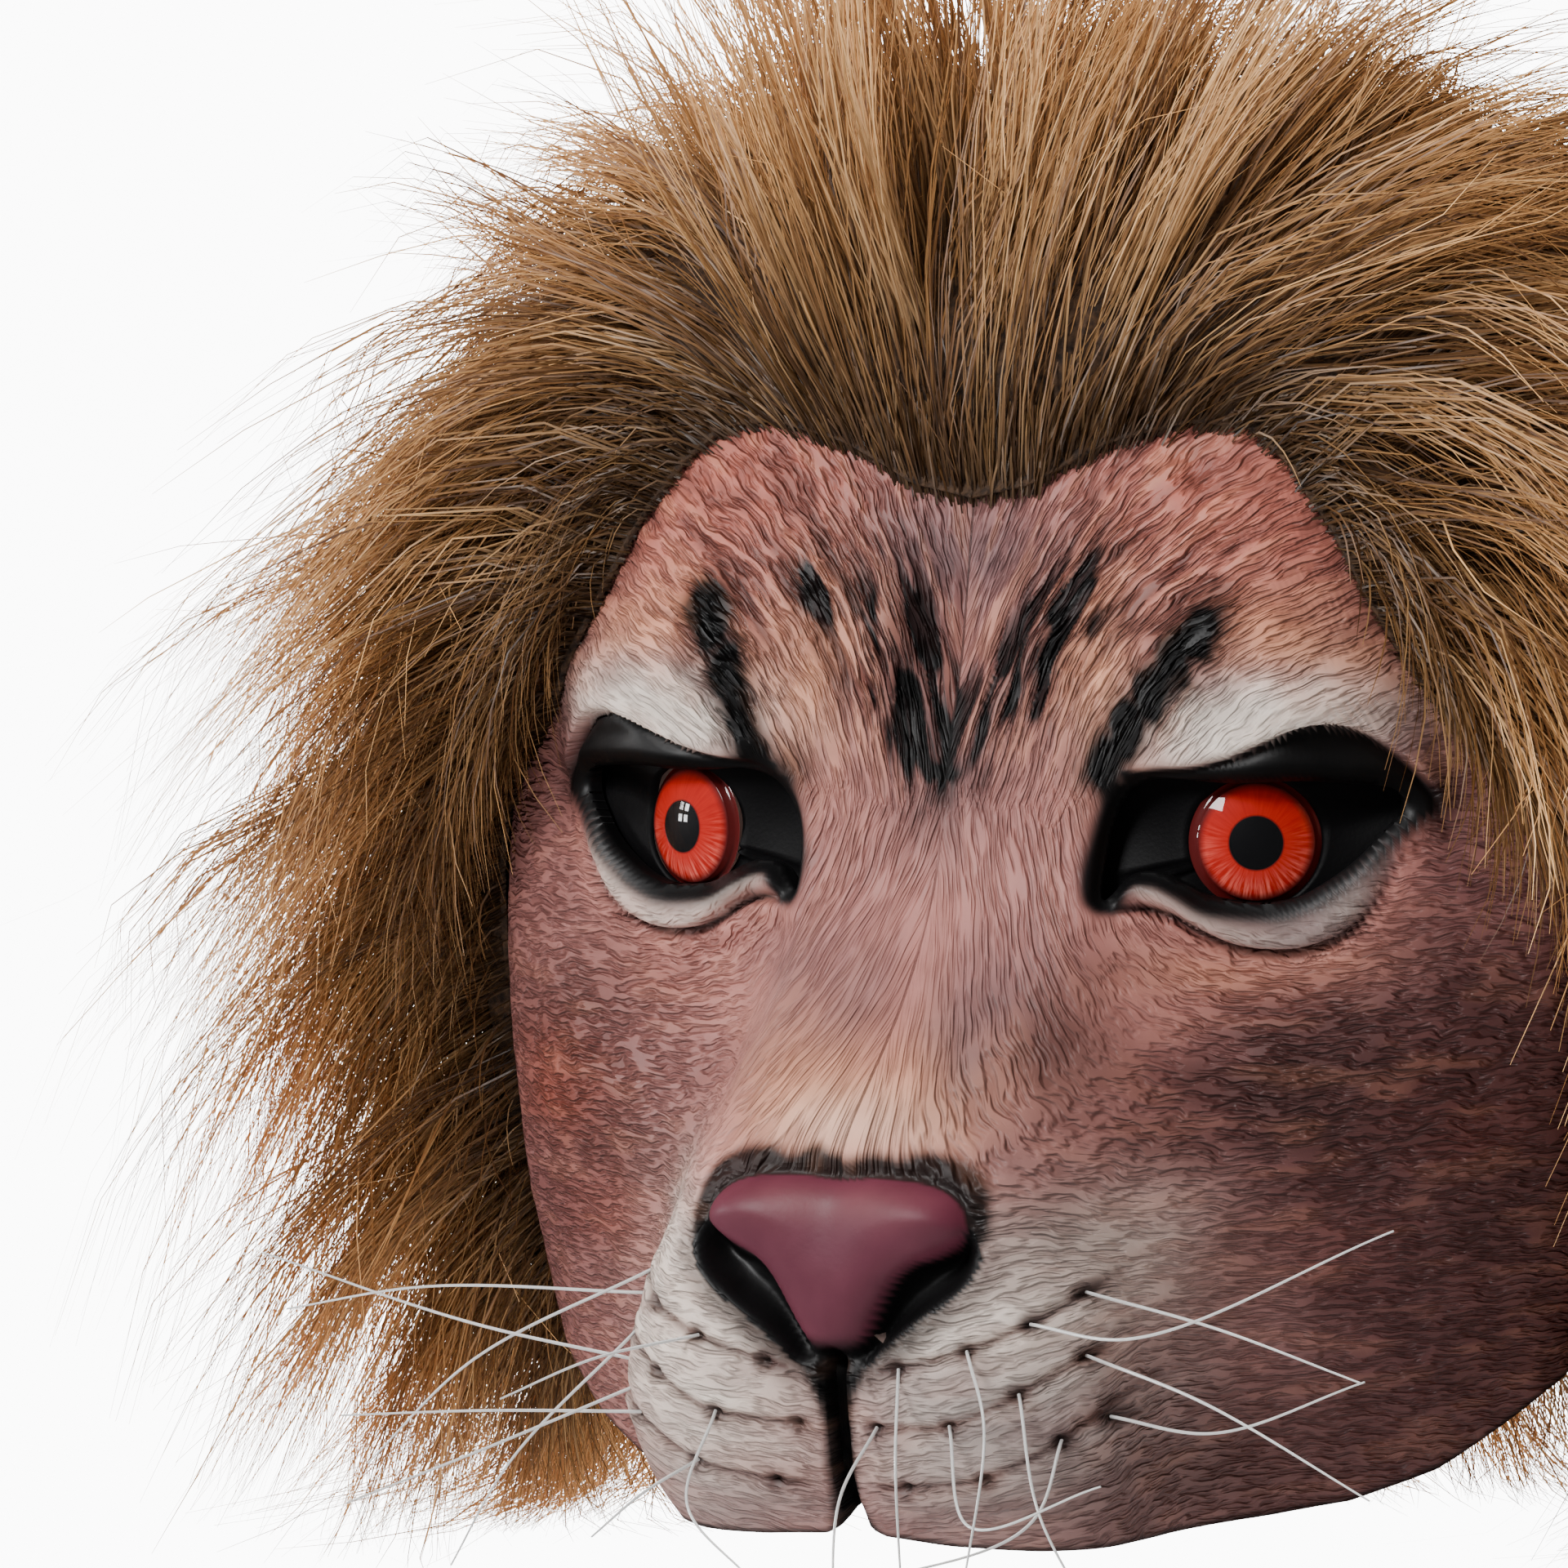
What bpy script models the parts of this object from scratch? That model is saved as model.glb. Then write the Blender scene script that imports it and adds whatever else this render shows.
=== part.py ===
"""A latex lion mask: one hollow latex shell, two eye panels with their eyes, a fur mane and nylon whiskers.

Metres, +Z up. The face looks along -Y, and the wearer's left is +X.
The origin is the inside of the crown, where the top of the wearer's head seats.
"""

import math
from collections import namedtuple

import bmesh
import bpy
import numpy as np
from mathutils import Matrix, Vector
from mathutils.bvhtree import BVHTree

# The latex shell. The tables below hold shares of these sizes.
HALF_WIDTH = 0.100
FACE_REACH = 0.100
FACE_HEIGHT = 0.200
BACK_REACH = 0.100
EYE_DROP = 0.115
LATEX = 0.0025

# The eyes: where they sit, as shares of the face, and their own sizes. The dome's profile runs from the
# middle out, in shares of EYE_RADIUS, and its height over the panel is in shares of EYE_DOME.
EYE_X = 0.557
EYE_HEIGHT = -0.021
EYE_TURN = math.radians(22)
EYE_RADIUS = 0.0102
EYE_DOME = 0.0016
EYE_PROFILE = ((0, 1), (0.45, 0.80), (0.80, 0.38), (1, -0.25))
EYE_FLANGE = 0.0022
EYE_FLANGE_THICKNESS = 0.0012
EYE_CLEARANCE = 0.0009
PANEL = 0.0014
PANEL_LAP = 0.0045
PANEL_DOME = 0.090
PANEL_CORNERS = 22

# The mane: the pile's dense layer, the share of its rows over which it thins to its edge, and the locks
# that rise from it
PILE = 0.016
PILE_EDGE = 0.006
PILE_RAMP = 0.25
LOCK_LENGTH = 0.076
LOCK_VARIATION = 0.12

# The whiskers: each stands straight off the latex for the length of its stem
WHISKER_LENGTH = 0.075
WHISKER_RADIUS = 0.0005
WHISKER_STEM = 0.004

# Clearances: between hard pieces, and between the fur and the latex that it lies on
GAP = 0.0004
FUR_SEAT = 0.0021

# Mesh steps: columns from the nose to the side and on to the back, and rows from the crown to the edge.
# The last is how far apart, round the head and in levels, the points lie that a normal is worked out from.
FRONT_COLUMNS = 12
SIDE_COLUMNS = (0.94, 0.985, 1.02, 1.06)
REAR_COLUMNS = 7
LATEX_ROWS = 24
MANE_ROWS = 7
MANE_CROWDING = 1.25
NORMAL_STEP = (0.004, 0.04)

# Level sections of the head from the hairline down. Heights are shares of FACE_HEIGHT from the eyes' line.
# Each profile point lies sideways by a share of HALF_WIDTH and forward by a share of FACE_REACH,
# and the last column is how far back the section reaches, in shares of BACK_REACH.
SECTION_COLUMNS = (
    "height nose_y bridge_x bridge_y wall_x wall_y cheek_x cheek_y bone_x bone_y side_x side_y back_y"
).split()
SECTIONS = np.array([
    [0.340, 0.745, 0.16, 0.752, 0.36, 0.735, 0.59, 0.665, 0.80, 0.52, 0.94, 0.32, 0.98],
    [0.270, 0.805, 0.16, 0.815, 0.36, 0.790, 0.60, 0.720, 0.81, 0.57, 0.96, 0.37, 1.00],
    [0.200, 0.870, 0.17, 0.875, 0.36, 0.825, 0.61, 0.760, 0.83, 0.61, 0.98, 0.42, 1.00],
    [0.140, 0.925, 0.19, 0.920, 0.38, 0.850, 0.62, 0.795, 0.85, 0.64, 1.00, 0.46, 1.00],
    [0.070, 0.915, 0.21, 0.900, 0.34, 0.865, 0.62, 0.825, 0.86, 0.66, 1.01, 0.48, 1.00],
    [0.000, 0.885, 0.22, 0.875, 0.31, 0.855, 0.58, 0.815, 0.86, 0.68, 1.01, 0.50, 1.00],
    [-0.070, 0.920, 0.23, 0.900, 0.33, 0.855, 0.60, 0.800, 0.87, 0.68, 1.01, 0.50, 0.99],
    [-0.150, 1.040, 0.24, 1.000, 0.38, 0.865, 0.62, 0.785, 0.88, 0.68, 1.01, 0.50, 0.97],
    [-0.225, 1.190, 0.25, 1.140, 0.42, 0.900, 0.65, 0.795, 0.89, 0.67, 1.01, 0.49, 0.94],
    [-0.290, 1.305, 0.27, 1.260, 0.46, 0.950, 0.67, 0.805, 0.89, 0.66, 1.00, 0.47, 0.91],
    [-0.360, 1.345, 0.32, 1.300, 0.49, 0.980, 0.68, 0.805, 0.89, 0.64, 0.99, 0.45, 0.88],
    [-0.440, 1.335, 0.38, 1.285, 0.51, 1.000, 0.69, 0.795, 0.88, 0.62, 0.98, 0.43, 0.86],
    [-0.510, 1.315, 0.40, 1.265, 0.51, 1.000, 0.69, 0.785, 0.87, 0.60, 0.96, 0.41, 0.85],
    [-0.570, 1.280, 0.38, 1.220, 0.50, 0.970, 0.67, 0.765, 0.85, 0.58, 0.94, 0.39, 0.84],
    [-0.640, 1.200, 0.34, 1.120, 0.46, 0.900, 0.63, 0.715, 0.81, 0.53, 0.90, 0.35, 0.83],
])
CROWN_ANGLES = (90, 68, 46, 23)

# Raised and sunk forms: centre and spread as shares of HALF_WIDTH across and FACE_HEIGHT up, the turn in
# degrees, and how far the form stands forward as a share of FACE_REACH. They fade out towards the side
# of the head, over this share of the way from nose to side.
RELIEF_FADE = 0.12
Form = namedtuple("Form", "across up half_across half_up turn rise")
RELIEF = {
    "upper_lid": Form(0.64, 0.082, 0.17, 0.018, 6, 0.036),
    "brow": Form(0.50, 0.150, 0.24, 0.036, -8, 0.022),
    "frown": Form(0.13, 0.150, 0.06, 0.050, 10, 0.018),
    "frown_valley": Form(0.00, 0.150, 0.04, 0.060, 0, -0.016),
    "inner_corner": Form(0.33, -0.030, 0.07, 0.050, 0, -0.030),
    "outer_corner": Form(0.83, 0.010, 0.09, 0.045, 0, -0.026),
    "under_eye": Form(0.58, -0.105, 0.20, 0.034, 0, -0.032),
    "cheek": Form(0.72, -0.230, 0.16, 0.070, 20, 0.022),
    "nose_pad": Form(0.00, -0.345, 0.17, 0.045, 0, 0.030),
    "nose_wing": Form(0.18, -0.325, 0.07, 0.024, 10, 0.030),
    "nose_point": Form(0.00, -0.410, 0.06, 0.036, 0, 0.022),
    "nostril": Form(0.19, -0.392, 0.065, 0.022, 25, -0.062),
    "whisker_pad": Form(0.24, -0.480, 0.15, 0.070, -12, 0.034),
    "cleft": Form(0.00, -0.535, 0.035, 0.060, 0, -0.060),
    "pad_groove": Form(0.60, -0.450, 0.06, 0.110, 8, -0.030),
}

# The latex's lower edge and the mane's front edge: share of the way round from nose (0) to side (1) to
# back (2), and height as a share of FACE_HEIGHT
LIP_EDGE = np.array([
    [0.00, -0.588], [0.03, -0.602], [0.09, -0.608], [0.17, -0.610], [0.34, -0.607], [0.52, -0.598],
    [0.63, -0.590], [0.75, -0.566], [0.86, -0.528], [0.93, -0.502], [1.00, -0.486], [1.20, -0.490],
    [2.00, -0.500],
])
HAIRLINE = np.array([
    [0.00, 0.270], [0.15, 0.282], [0.30, 0.318], [0.435, 0.336], [0.52, 0.330], [0.58, 0.300],
    [0.65, 0.245], [0.715, 0.165], [0.785, 0.090], [0.885, 0.025], [0.95, -0.030], [0.985, -0.130],
    [1.01, -0.260], [1.03, -0.400], [1.07, -0.485], [2.00, -0.495],
])

# The eye opening's outline, from its inner lower corner: shares of HALF_WIDTH across and FACE_HEIGHT up
EYE_OUTLINE = (
    (0.300, -0.066), (0.350, -0.053), (0.410, -0.054), (0.480, -0.072), (0.560, -0.080), (0.640, -0.067),
    (0.720, -0.040), (0.790, -0.010), (0.825, 0.008), (0.760, 0.026), (0.660, 0.031), (0.560, 0.030),
    (0.460, 0.031), (0.380, 0.022), (0.335, -0.002), (0.305, -0.036),
)

# The pile's direction at its root and at its tip: shares of the skin's normal, of outwards from between
# the eyes, and of down, with what each gains at the front of the head and at the top of the front.
# The front fades in over FRONT_DEPTH ahead of FRONT_LINE.
Flow = namedtuple("Flow", "normal normal_top out out_top down down_front down_top")
PILE_ROOT = Flow(0.75, -0.35, 0.75, 0.0, 0.55, -0.55, 0.0)
PILE_TIP = Flow(0.26, -0.16, 0.26, 0.5, 1.15, 0.0, -1.05)
FRONT_LINE = 0.030
FRONT_DEPTH = 0.090

# How long the locks are, from the crown down to the neck: height as a share of FACE_HEIGHT, and share of
# LOCK_LENGTH. Then how a lock tapers: share of its length, and share of its root's width.
LOCK_LENGTHS = np.array([
    [-0.50, 0.42], [-0.35, 0.74], [-0.10, 0.98], [0.10, 1.00], [0.25, 0.88], [0.40, 0.72], [0.58, 0.52],
])
LOCK_RINGS = ((0.30, 0.80), (0.68, 0.46), (1.00, 0))

# Whiskers: the side of the face, the hole's place as shares of HALF_WIDTH and FACE_HEIGHT, and then the
# offsets of the whisker's middle and tip outwards, up and forwards, in shares of WHISKER_LENGTH
Whisker = namedtuple("Whisker", "side across up mid_out mid_up mid_fore tip_out tip_up tip_fore")
WHISKERS = (
    (1, 0.352, -0.408, 0.28, 0.00, 0.14, 0.91, 0.27, 0.10),
    (1, 0.410, -0.386, 0.37, -0.05, 0.10, 0.71, -0.15, 0.12),
    (1, 0.426, -0.437, 0.36, -0.07, 0.16, 0.77, -0.24, 0.24),
    (1, 0.455, -0.490, 0.27, -0.01, 0.06, 0.63, 0.12, 0.04),
    (1, 0.124, -0.450, 0.07, -0.19, 0.16, 0.08, -0.50, 0.16),
    (1, 0.074, -0.503, -0.03, -0.13, 0.14, -0.01, -0.42, 0.22),
    (1, 0.219, -0.496, 0.12, -0.19, 0.18, 0.48, -0.07, 0.26),
    (1, 0.339, -0.466, 0.13, -0.25, 0.18, 0.27, -0.44, 0.22),
    (1, 0.252, -0.431, 0.13, -0.15, 0.20, 0.12, -0.50, 0.30),
    (1, 0.398, -0.507, 0.02, -0.15, 0.18, -0.36, -0.30, 0.46),
    (-1, 0.410, -0.386, 0.45, -0.24, 0.08, 0.74, -0.50, 0.06),
    (-1, 0.426, -0.437, 0.30, -0.33, 0.12, 0.43, -0.56, 0.14),
    (-1, 0.435, -0.410, 0.62, -0.02, 0.00, 1.00, -0.10, -0.06),
    (-1, 0.440, -0.465, 0.34, 0.06, 0.06, 0.98, 0.20, 0.02),
    (-1, 0.398, -0.507, 0.35, 0.00, 0.14, 0.70, -0.03, 0.18),
    (-1, 0.415, -0.485, 0.25, -0.12, 0.20, 0.60, -0.27, 0.30),
    (-1, 0.252, -0.431, 0.17, -0.04, 0.20, 0.34, -0.12, 0.34),
    (-1, 0.270, -0.542, 0.08, -0.07, 0.14, 0.17, -0.16, 0.20),
    (-1, 0.219, -0.496, -0.01, -0.19, 0.18, -0.22, -0.34, 0.26),
)
WHISKER_STEPS = 6


def smooth(knots, rows, at):
    """Reads a smooth curve that passes through the rows at the knots."""
    slopes = np.gradient(rows, knots, axis=0)
    i = np.clip(np.searchsorted(knots, at, side="right") - 1, 0, len(knots) - 2)
    step = (knots[i + 1] - knots[i])[:, None]
    t = (at[:, None] - knots[i][:, None]) / step
    return (
        rows[i] * (1 + 2 * t) * (1 - t) ** 2
        + rows[i + 1] * t**2 * (3 - 2 * t)
        + slopes[i] * step * t * (1 - t) ** 2
        - slopes[i + 1] * step * t**2 * (1 - t)
    )


def head_levels():
    """The sections in metres, below those of the crown, which close to a point along a quarter ellipse."""
    across = [SECTION_COLUMNS.index(name) for name in SECTION_COLUMNS if name.endswith("_x")]
    forward = [SECTION_COLUMNS.index(name) for name in SECTION_COLUMNS if name.endswith("_y")]
    levels = SECTIONS.copy()
    levels[:, 0] = levels[:, 0] * FACE_HEIGHT - EYE_DROP
    levels[:, across] *= HALF_WIDTH
    levels[:, forward] *= -FACE_REACH
    levels[:, -1] = SECTIONS[:, -1] * BACK_REACH
    crown = []
    for degrees in CROWN_ANGLES:
        angle = math.radians(degrees)
        level = levels[0] * math.cos(angle)
        level[0] = levels[0, 0] + (LATEX - levels[0, 0]) * math.sin(angle)
        crown.append(level)
    return np.array(crown + list(levels))


LEVELS = head_levels()
LEVEL_KNOTS = np.arange(len(LEVELS), dtype=float)
FINE_KNOTS = np.linspace(0, LEVEL_KNOTS[-1], 600)
FINE_HEIGHTS = smooth(LEVEL_KNOTS, LEVELS[:, :1], FINE_KNOTS)[:, 0]


def level_at(z):
    """The level, counted down from the crown, that lies at a height in metres."""
    return np.interp(-np.asarray(z), -FINE_HEIGHTS, FINE_KNOTS)


def relief(x, z):
    """How far the raised forms stand forward of the plain head at a place on the face."""
    total = np.zeros_like(x)
    for form in RELIEF.values():
        angle = math.radians(form.turn)
        for side in (1, -1) if form.across else (1,):
            dx = side * x - form.across * HALF_WIDTH
            dz = z + EYE_DROP - form.up * FACE_HEIGHT
            along = (dx * math.cos(angle) + dz * math.sin(angle)) / (form.half_across * HALF_WIDTH)
            over = (dz * math.cos(angle) - dx * math.sin(angle)) / (form.half_up * FACE_HEIGHT)
            total += form.rise * FACE_REACH * np.exp(-(along**2) - over**2)
    return total


def head_points(around, level, plain=False):
    """Points of the latex's outer face on the wearer's left: around runs nose 0, side 1, back 2."""
    around, level = np.broadcast_arrays(np.asarray(around, float), np.asarray(level, float))
    shape = around.shape
    u, rows = around.ravel(), smooth(LEVEL_KNOTS, LEVELS, level.ravel())
    z = rows[:, 0]
    px = np.concatenate([0 * rows[:, :1], rows[:, 2:-1:2]], 1)
    py = np.concatenate([rows[:, 1:2], rows[:, 3:-1:2]], 1)
    mx, my = np.empty_like(px), np.empty_like(py)
    mx[:, 1:-1], my[:, 1:-1] = (px[:, 2:] - px[:, :-2]) / 2, (py[:, 2:] - py[:, :-2]) / 2
    mx[:, 0], my[:, 0] = px[:, 1], 0
    mx[:, -1], my[:, -1] = 0, py[:, -1] - py[:, -2]
    spans = px.shape[1] - 1
    i = np.clip((u * spans).astype(int), 0, spans - 1)
    t = np.clip(u * spans - i, 0, 1)
    pick = np.arange(len(u))
    weights = ((1 + 2 * t) * (1 - t) ** 2, t**2 * (3 - 2 * t), t * (1 - t) ** 2, -(t**2) * (1 - t))

    def blend(p, m):
        ends = (p[pick, i], p[pick, i + 1], m[pick, i], m[pick, i + 1])
        return sum(weight * end for weight, end in zip(weights, ends))

    angle = np.clip(u - 1, 0, 1) * math.pi / 2
    x = np.where(u <= 1, blend(px, mx), px[:, -1] * np.cos(angle))
    y = np.where(u <= 1, blend(py, my), py[:, -1] + (rows[:, -1] - py[:, -1]) * np.sin(angle))
    if not plain:
        fade = np.clip((1 - u) / RELIEF_FADE, 0, 1)
        y = y - relief(x, z) * fade * fade * (3 - 2 * fade)
    x = np.where(u >= 2, 0, x)
    return np.stack([x, y, z], 1).reshape(*shape, 3)


def head_normals(around, level, plain=False):
    """Outward directions of the latex's outer face."""
    around, level = np.broadcast_arrays(np.asarray(around, float), np.asarray(level, float))
    du, dv = NORMAL_STEP
    low, high = np.clip(around - du, 0, 2), np.clip(around + du, 0, 2)
    above = np.clip(level - dv, 0, LEVEL_KNOTS[-1])
    below = np.clip(level + dv, 0, LEVEL_KNOTS[-1])
    normal = np.cross(
        head_points(around, below, plain) - head_points(around, above, plain),
        head_points(high, level, plain) - head_points(low, level, plain),
    )
    normal /= np.maximum(np.linalg.norm(normal, axis=-1, keepdims=True), 1e-12)
    normal[..., 0] = np.where((around <= 0) | (around >= 2), 0, normal[..., 0])
    normal = np.where((level < 0.01)[..., None], [0, 0, 1], normal)
    return normal / np.linalg.norm(normal, axis=-1, keepdims=True)


def face_place(x, z):
    """The way round and the level of a place on the face that is seen from the front at x and z."""
    x, z = np.atleast_1d(x).astype(float), np.atleast_1d(z).astype(float)
    level = level_at(z)
    tries = np.linspace(0, 1, 240)
    rows = head_points(tries[None, :], level[:, None])
    around = np.array([np.interp(abs(a), row[:, 0], tries) for a, row in zip(x, rows)])
    return around, level


def face_seat(x, z, depth=0.0, plain=False):
    """Points under the face's surface at x and z, sunk along its normal, on either side of the face."""
    around, level = face_place(x, z)
    side = np.where(np.atleast_1d(x) < 0, -1, 1)[:, None] * [1, 0, 0] + [0, 1, 1]
    points, normals = head_points(around, level, plain), head_normals(around, level, plain)
    return (points - normals * depth) * side, normals * side


def material(name, color, roughness, metallic=0.0):
    """A plain material for one kind of piece."""
    made = bpy.data.materials.new(name)
    made.use_nodes = True
    shader = made.node_tree.nodes["Principled BSDF"]
    shader.inputs["Base Color"].default_value = (*color, 1)
    shader.inputs["Roughness"].default_value = roughness
    shader.inputs["Metallic"].default_value = metallic
    return made


def add_object(name, data, collection, finish=None):
    """Puts a mesh or a curve in the scene as one named piece."""
    piece = bpy.data.objects.new(name, data)
    collection.objects.link(piece)
    if finish:
        data.materials.append(finish)
    return piece


def mesh_of(name, points, faces):
    """A smooth-shaded mesh with its faces turned outwards."""
    mesh = bpy.data.meshes.new(name)
    mesh.from_pydata([tuple(p) for p in points], [], faces)
    work = bmesh.new()
    work.from_mesh(mesh)
    bmesh.ops.recalc_face_normals(work, faces=work.faces)
    work.to_mesh(mesh)
    work.free()
    mesh.shade_smooth()
    return mesh


def grid_faces(rows, columns, first=0):
    """Faces of a grid whose points run row by row."""
    at = lambda r, c: first + r * columns + c
    return [
        (at(r, c), at(r + 1, c), at(r + 1, c + 1), at(r, c + 1))
        for r in range(rows - 1)
        for c in range(columns - 1)
    ]


def mirror_across(piece):
    """Doubles a half that is open at the middle plane."""
    mirror = piece.modifiers.new("both_sides", "MIRROR")
    mirror.use_mirror_merge = True
    mirror.merge_threshold = 0.00001


def columns_around(split=1):
    """The ways round of the columns: closer near the nose and where the mane's front edge runs down."""
    ahead = SIDE_COLUMNS[0] * (np.arange(FRONT_COLUMNS) / FRONT_COLUMNS) ** 1.2
    behind = np.linspace(SIDE_COLUMNS[-1], 2, REAR_COLUMNS + 1)[1:]
    return np.concatenate([ahead, SIDE_COLUMNS, behind])[::split]


def eye_cutter(side, cutters):
    """A prism with the outline of an eye opening, which cuts the latex from the front."""
    work = bmesh.new()
    outline = np.array(EYE_OUTLINE) * [side * HALF_WIDTH, FACE_HEIGHT] - [0, EYE_DROP]
    ring = [work.verts.new((x, 0, z)) for x, z in outline]
    face = work.faces.new(ring)
    front = bmesh.ops.extrude_face_region(work, geom=[face])
    moved = [v for v in front["geom"] if isinstance(v, bmesh.types.BMVert)]
    bmesh.ops.translate(work, verts=moved, vec=(0, -2 * FACE_REACH, 0))
    bmesh.ops.recalc_face_normals(work, faces=work.faces)
    mesh = bpy.data.meshes.new("eye_cutter")
    work.to_mesh(mesh)
    work.free()
    cutter = add_object("cut_eye_left" if side > 0 else "cut_eye_right", mesh, cutters)
    cutter.hide_render = True
    cutter.display_type = "WIRE"
    return cutter


def latex_mask(parts, cutters, finish):
    """The cast latex: face, cheeks and skull cap in one hollow shell, with the eye openings cut."""
    around = columns_around()
    edge = level_at(np.interp(around, *LIP_EDGE.T) * FACE_HEIGHT - EYE_DROP)
    share = np.linspace(0, 1, LATEX_ROWS + 1)[1:, None]
    points = head_points(around[None, :], share * edge[None, :])
    points[:, 0, 0] = 0
    crown = head_points(0.0, 0.0).reshape(1, 3)
    columns = len(around)
    faces = grid_faces(LATEX_ROWS, columns, 1)
    faces += [(0, 1 + c, 2 + c) for c in range(columns - 1)]
    mesh = mesh_of("latex_mask", [*crown, *points.reshape(-1, 3)], faces)
    shell = add_object("latex_mask", mesh, parts, finish)
    mirror_across(shell)
    wall = shell.modifiers.new("wall", "SOLIDIFY")
    wall.thickness = LATEX
    wall.offset = -1
    for side in (1, -1):
        cut = shell.modifiers.new("eye_opening", "BOOLEAN")
        cut.operation = "DIFFERENCE"
        cut.object = eye_cutter(side, cutters)
    return shell


def eye_frame():
    """The wearer's left eye: its centre on the plain face, and its directions across, up and ahead."""
    centre, _ = face_seat(EYE_X * HALF_WIDTH, EYE_HEIGHT * FACE_HEIGHT - EYE_DROP, plain=True)
    across = np.array([math.cos(EYE_TURN), math.sin(EYE_TURN), 0])
    ahead = np.array([math.sin(EYE_TURN), -math.cos(EYE_TURN), 0])
    return centre[0], np.array([across, [0, 0, 1], ahead])


def opening_reach():
    """The latex's inner edge round the eye opening: even angles round the eye, and how far out it lies."""
    centre, frame = eye_frame()
    outline = np.array(EYE_OUTLINE)
    edge, _ = face_seat(outline[:, 0] * HALF_WIDTH, outline[:, 1] * FACE_HEIGHT - EYE_DROP, LATEX)
    local = (edge - centre) @ frame.T
    angles = np.arctan2(local[:, 1], local[:, 0])
    order = np.argsort(angles)
    even = np.linspace(-math.pi, math.pi, PANEL_CORNERS, endpoint=False)
    return even, np.interp(even, angles[order], np.hypot(local[:, 0], local[:, 1])[order], period=2 * math.pi)


def panel_drop(radius):
    """How far the panel's domed face falls back at a distance from the eye's axis."""
    return radius**2 / (2 * PANEL_DOME)


def panel_seat():
    """Where the top of the panel's dome lies on the eye's axis, so that its rim just clears the latex."""
    centre, frame = eye_frame()
    angles, reach = opening_reach()
    clear = []
    for grow in np.linspace(-0.3, 1.4, 6) * PANEL_LAP:
        x = centre[0] + (reach + grow) * np.cos(angles) * math.cos(EYE_TURN)
        z = centre[2] + (reach + grow) * np.sin(angles)
        local = (face_seat(x, z, LATEX)[0] - centre) @ frame.T
        clear.append(local[:, 2] + panel_drop(np.hypot(local[:, 0], local[:, 1])))
    return float(np.min(clear)) - GAP


def eye_matrix(side, height):
    """The place of a piece that is modelled round the eye's axis, with its own Z looking ahead."""
    centre, frame = eye_frame()
    flip = np.array([side, 1, 1])
    turn = Vector(frame[2] * flip).to_track_quat("Z", "Y").to_matrix().to_4x4()
    return Matrix.Translation(Vector((centre + frame[2] * height) * flip)) @ turn


def eye_panel(side, parts, finish):
    """The black domed panel behind an eye opening, with a round hole for the eye."""
    centre, frame = eye_frame()
    angles, reach = opening_reach()
    hole = EYE_RADIUS + EYE_CLEARANCE
    share = np.linspace(0, 1, 3)[:, None]
    radius = hole + (reach + PANEL_LAP - hole) * share
    height = panel_seat() - panel_drop(radius)
    local = np.stack([radius * np.cos(angles), radius * np.sin(angles), height], -1)
    points = (local.reshape(-1, 3) @ frame + centre) * [side, 1, 1]
    rows, columns = radius.shape
    at = lambda r, c: r * columns + c % columns
    cells = [(r, c) for r in range(rows - 1) for c in range(columns)]
    faces = [(at(r, c), at(r + 1, c), at(r + 1, c + 1), at(r, c + 1)) for r, c in cells]
    mesh = mesh_of("eye_panel", points, faces)
    if mesh.polygons[0].normal.y > 0:
        mesh.flip_normals()
    name = "eye_panel_left" if side > 0 else "eye_panel_right"
    panel = add_object(name, mesh, parts, finish)
    wall = panel.modifiers.new("wall", "SOLIDIFY")
    wall.thickness = PANEL
    wall.offset = -1
    return panel


def eye(side, parts, finish):
    """A plastic eye: a domed disc in the panel's hole, with a flange seated behind the panel."""
    flange = EYE_RADIUS + EYE_FLANGE
    seat = panel_seat() - panel_drop(flange) - PANEL - GAP
    profile = [(r * EYE_RADIUS, PANEL + h * EYE_DOME) for r, h in EYE_PROFILE]
    profile += [
        (EYE_RADIUS, 0.0),
        (flange, 0.0),
        (flange, -EYE_FLANGE_THICKNESS),
        (0.0, -EYE_FLANGE_THICKNESS),
    ]
    mesh = bpy.data.meshes.new("eye")
    mesh.from_pydata([(r, 0, h) for r, h in profile], [(i, i + 1) for i in range(len(profile) - 1)], [])
    name = "eye_left" if side > 0 else "eye_right"
    disc = add_object(name, mesh, parts, finish)
    screw = disc.modifiers.new("turned", "SCREW")
    screw.axis = "Z"
    screw.steps = screw.render_steps = 16
    screw.use_merge_vertices = True
    screw.merge_threshold = 0.00001
    disc.matrix_world = eye_matrix(side, seat)
    return disc


def pile_flow(root, normal, share):
    """The direction of the pile at a share of its length, for a root at a point of the head."""
    up_front = np.array([root[0], 0, root[2] + EYE_DROP])
    out = up_front / max(np.linalg.norm(up_front), 1e-6)
    front = min(max((FRONT_LINE - root[1]) / FRONT_DEPTH, 0), 1)
    top = max(out[2], 0) * front
    way = np.zeros(3)
    for part, flow in zip((1 - share, share), (PILE_ROOT, PILE_TIP)):
        lift = flow.normal + flow.normal_top * top
        spread = flow.out * front + flow.out_top * top
        droop = flow.down + flow.down_front * front + flow.down_top * top
        turn = normal * lift + out * spread + np.array([0, 0, -droop])
        way += turn / np.linalg.norm(turn) * part
    return way / np.linalg.norm(way)


def mane_grid(split):
    """Ways round and levels of the mane's points from crown to edge, at every step or every other."""
    around = columns_around(split)
    edge = level_at(np.interp(around, *HAIRLINE.T) * FACE_HEIGHT - EYE_DROP)
    share = np.linspace(0, 1, MANE_ROWS * 2 // split + 1)[1:, None] ** MANE_CROWDING
    return np.broadcast_to(around[None, :], (len(share), len(around))), share * edge[None, :], share


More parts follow.
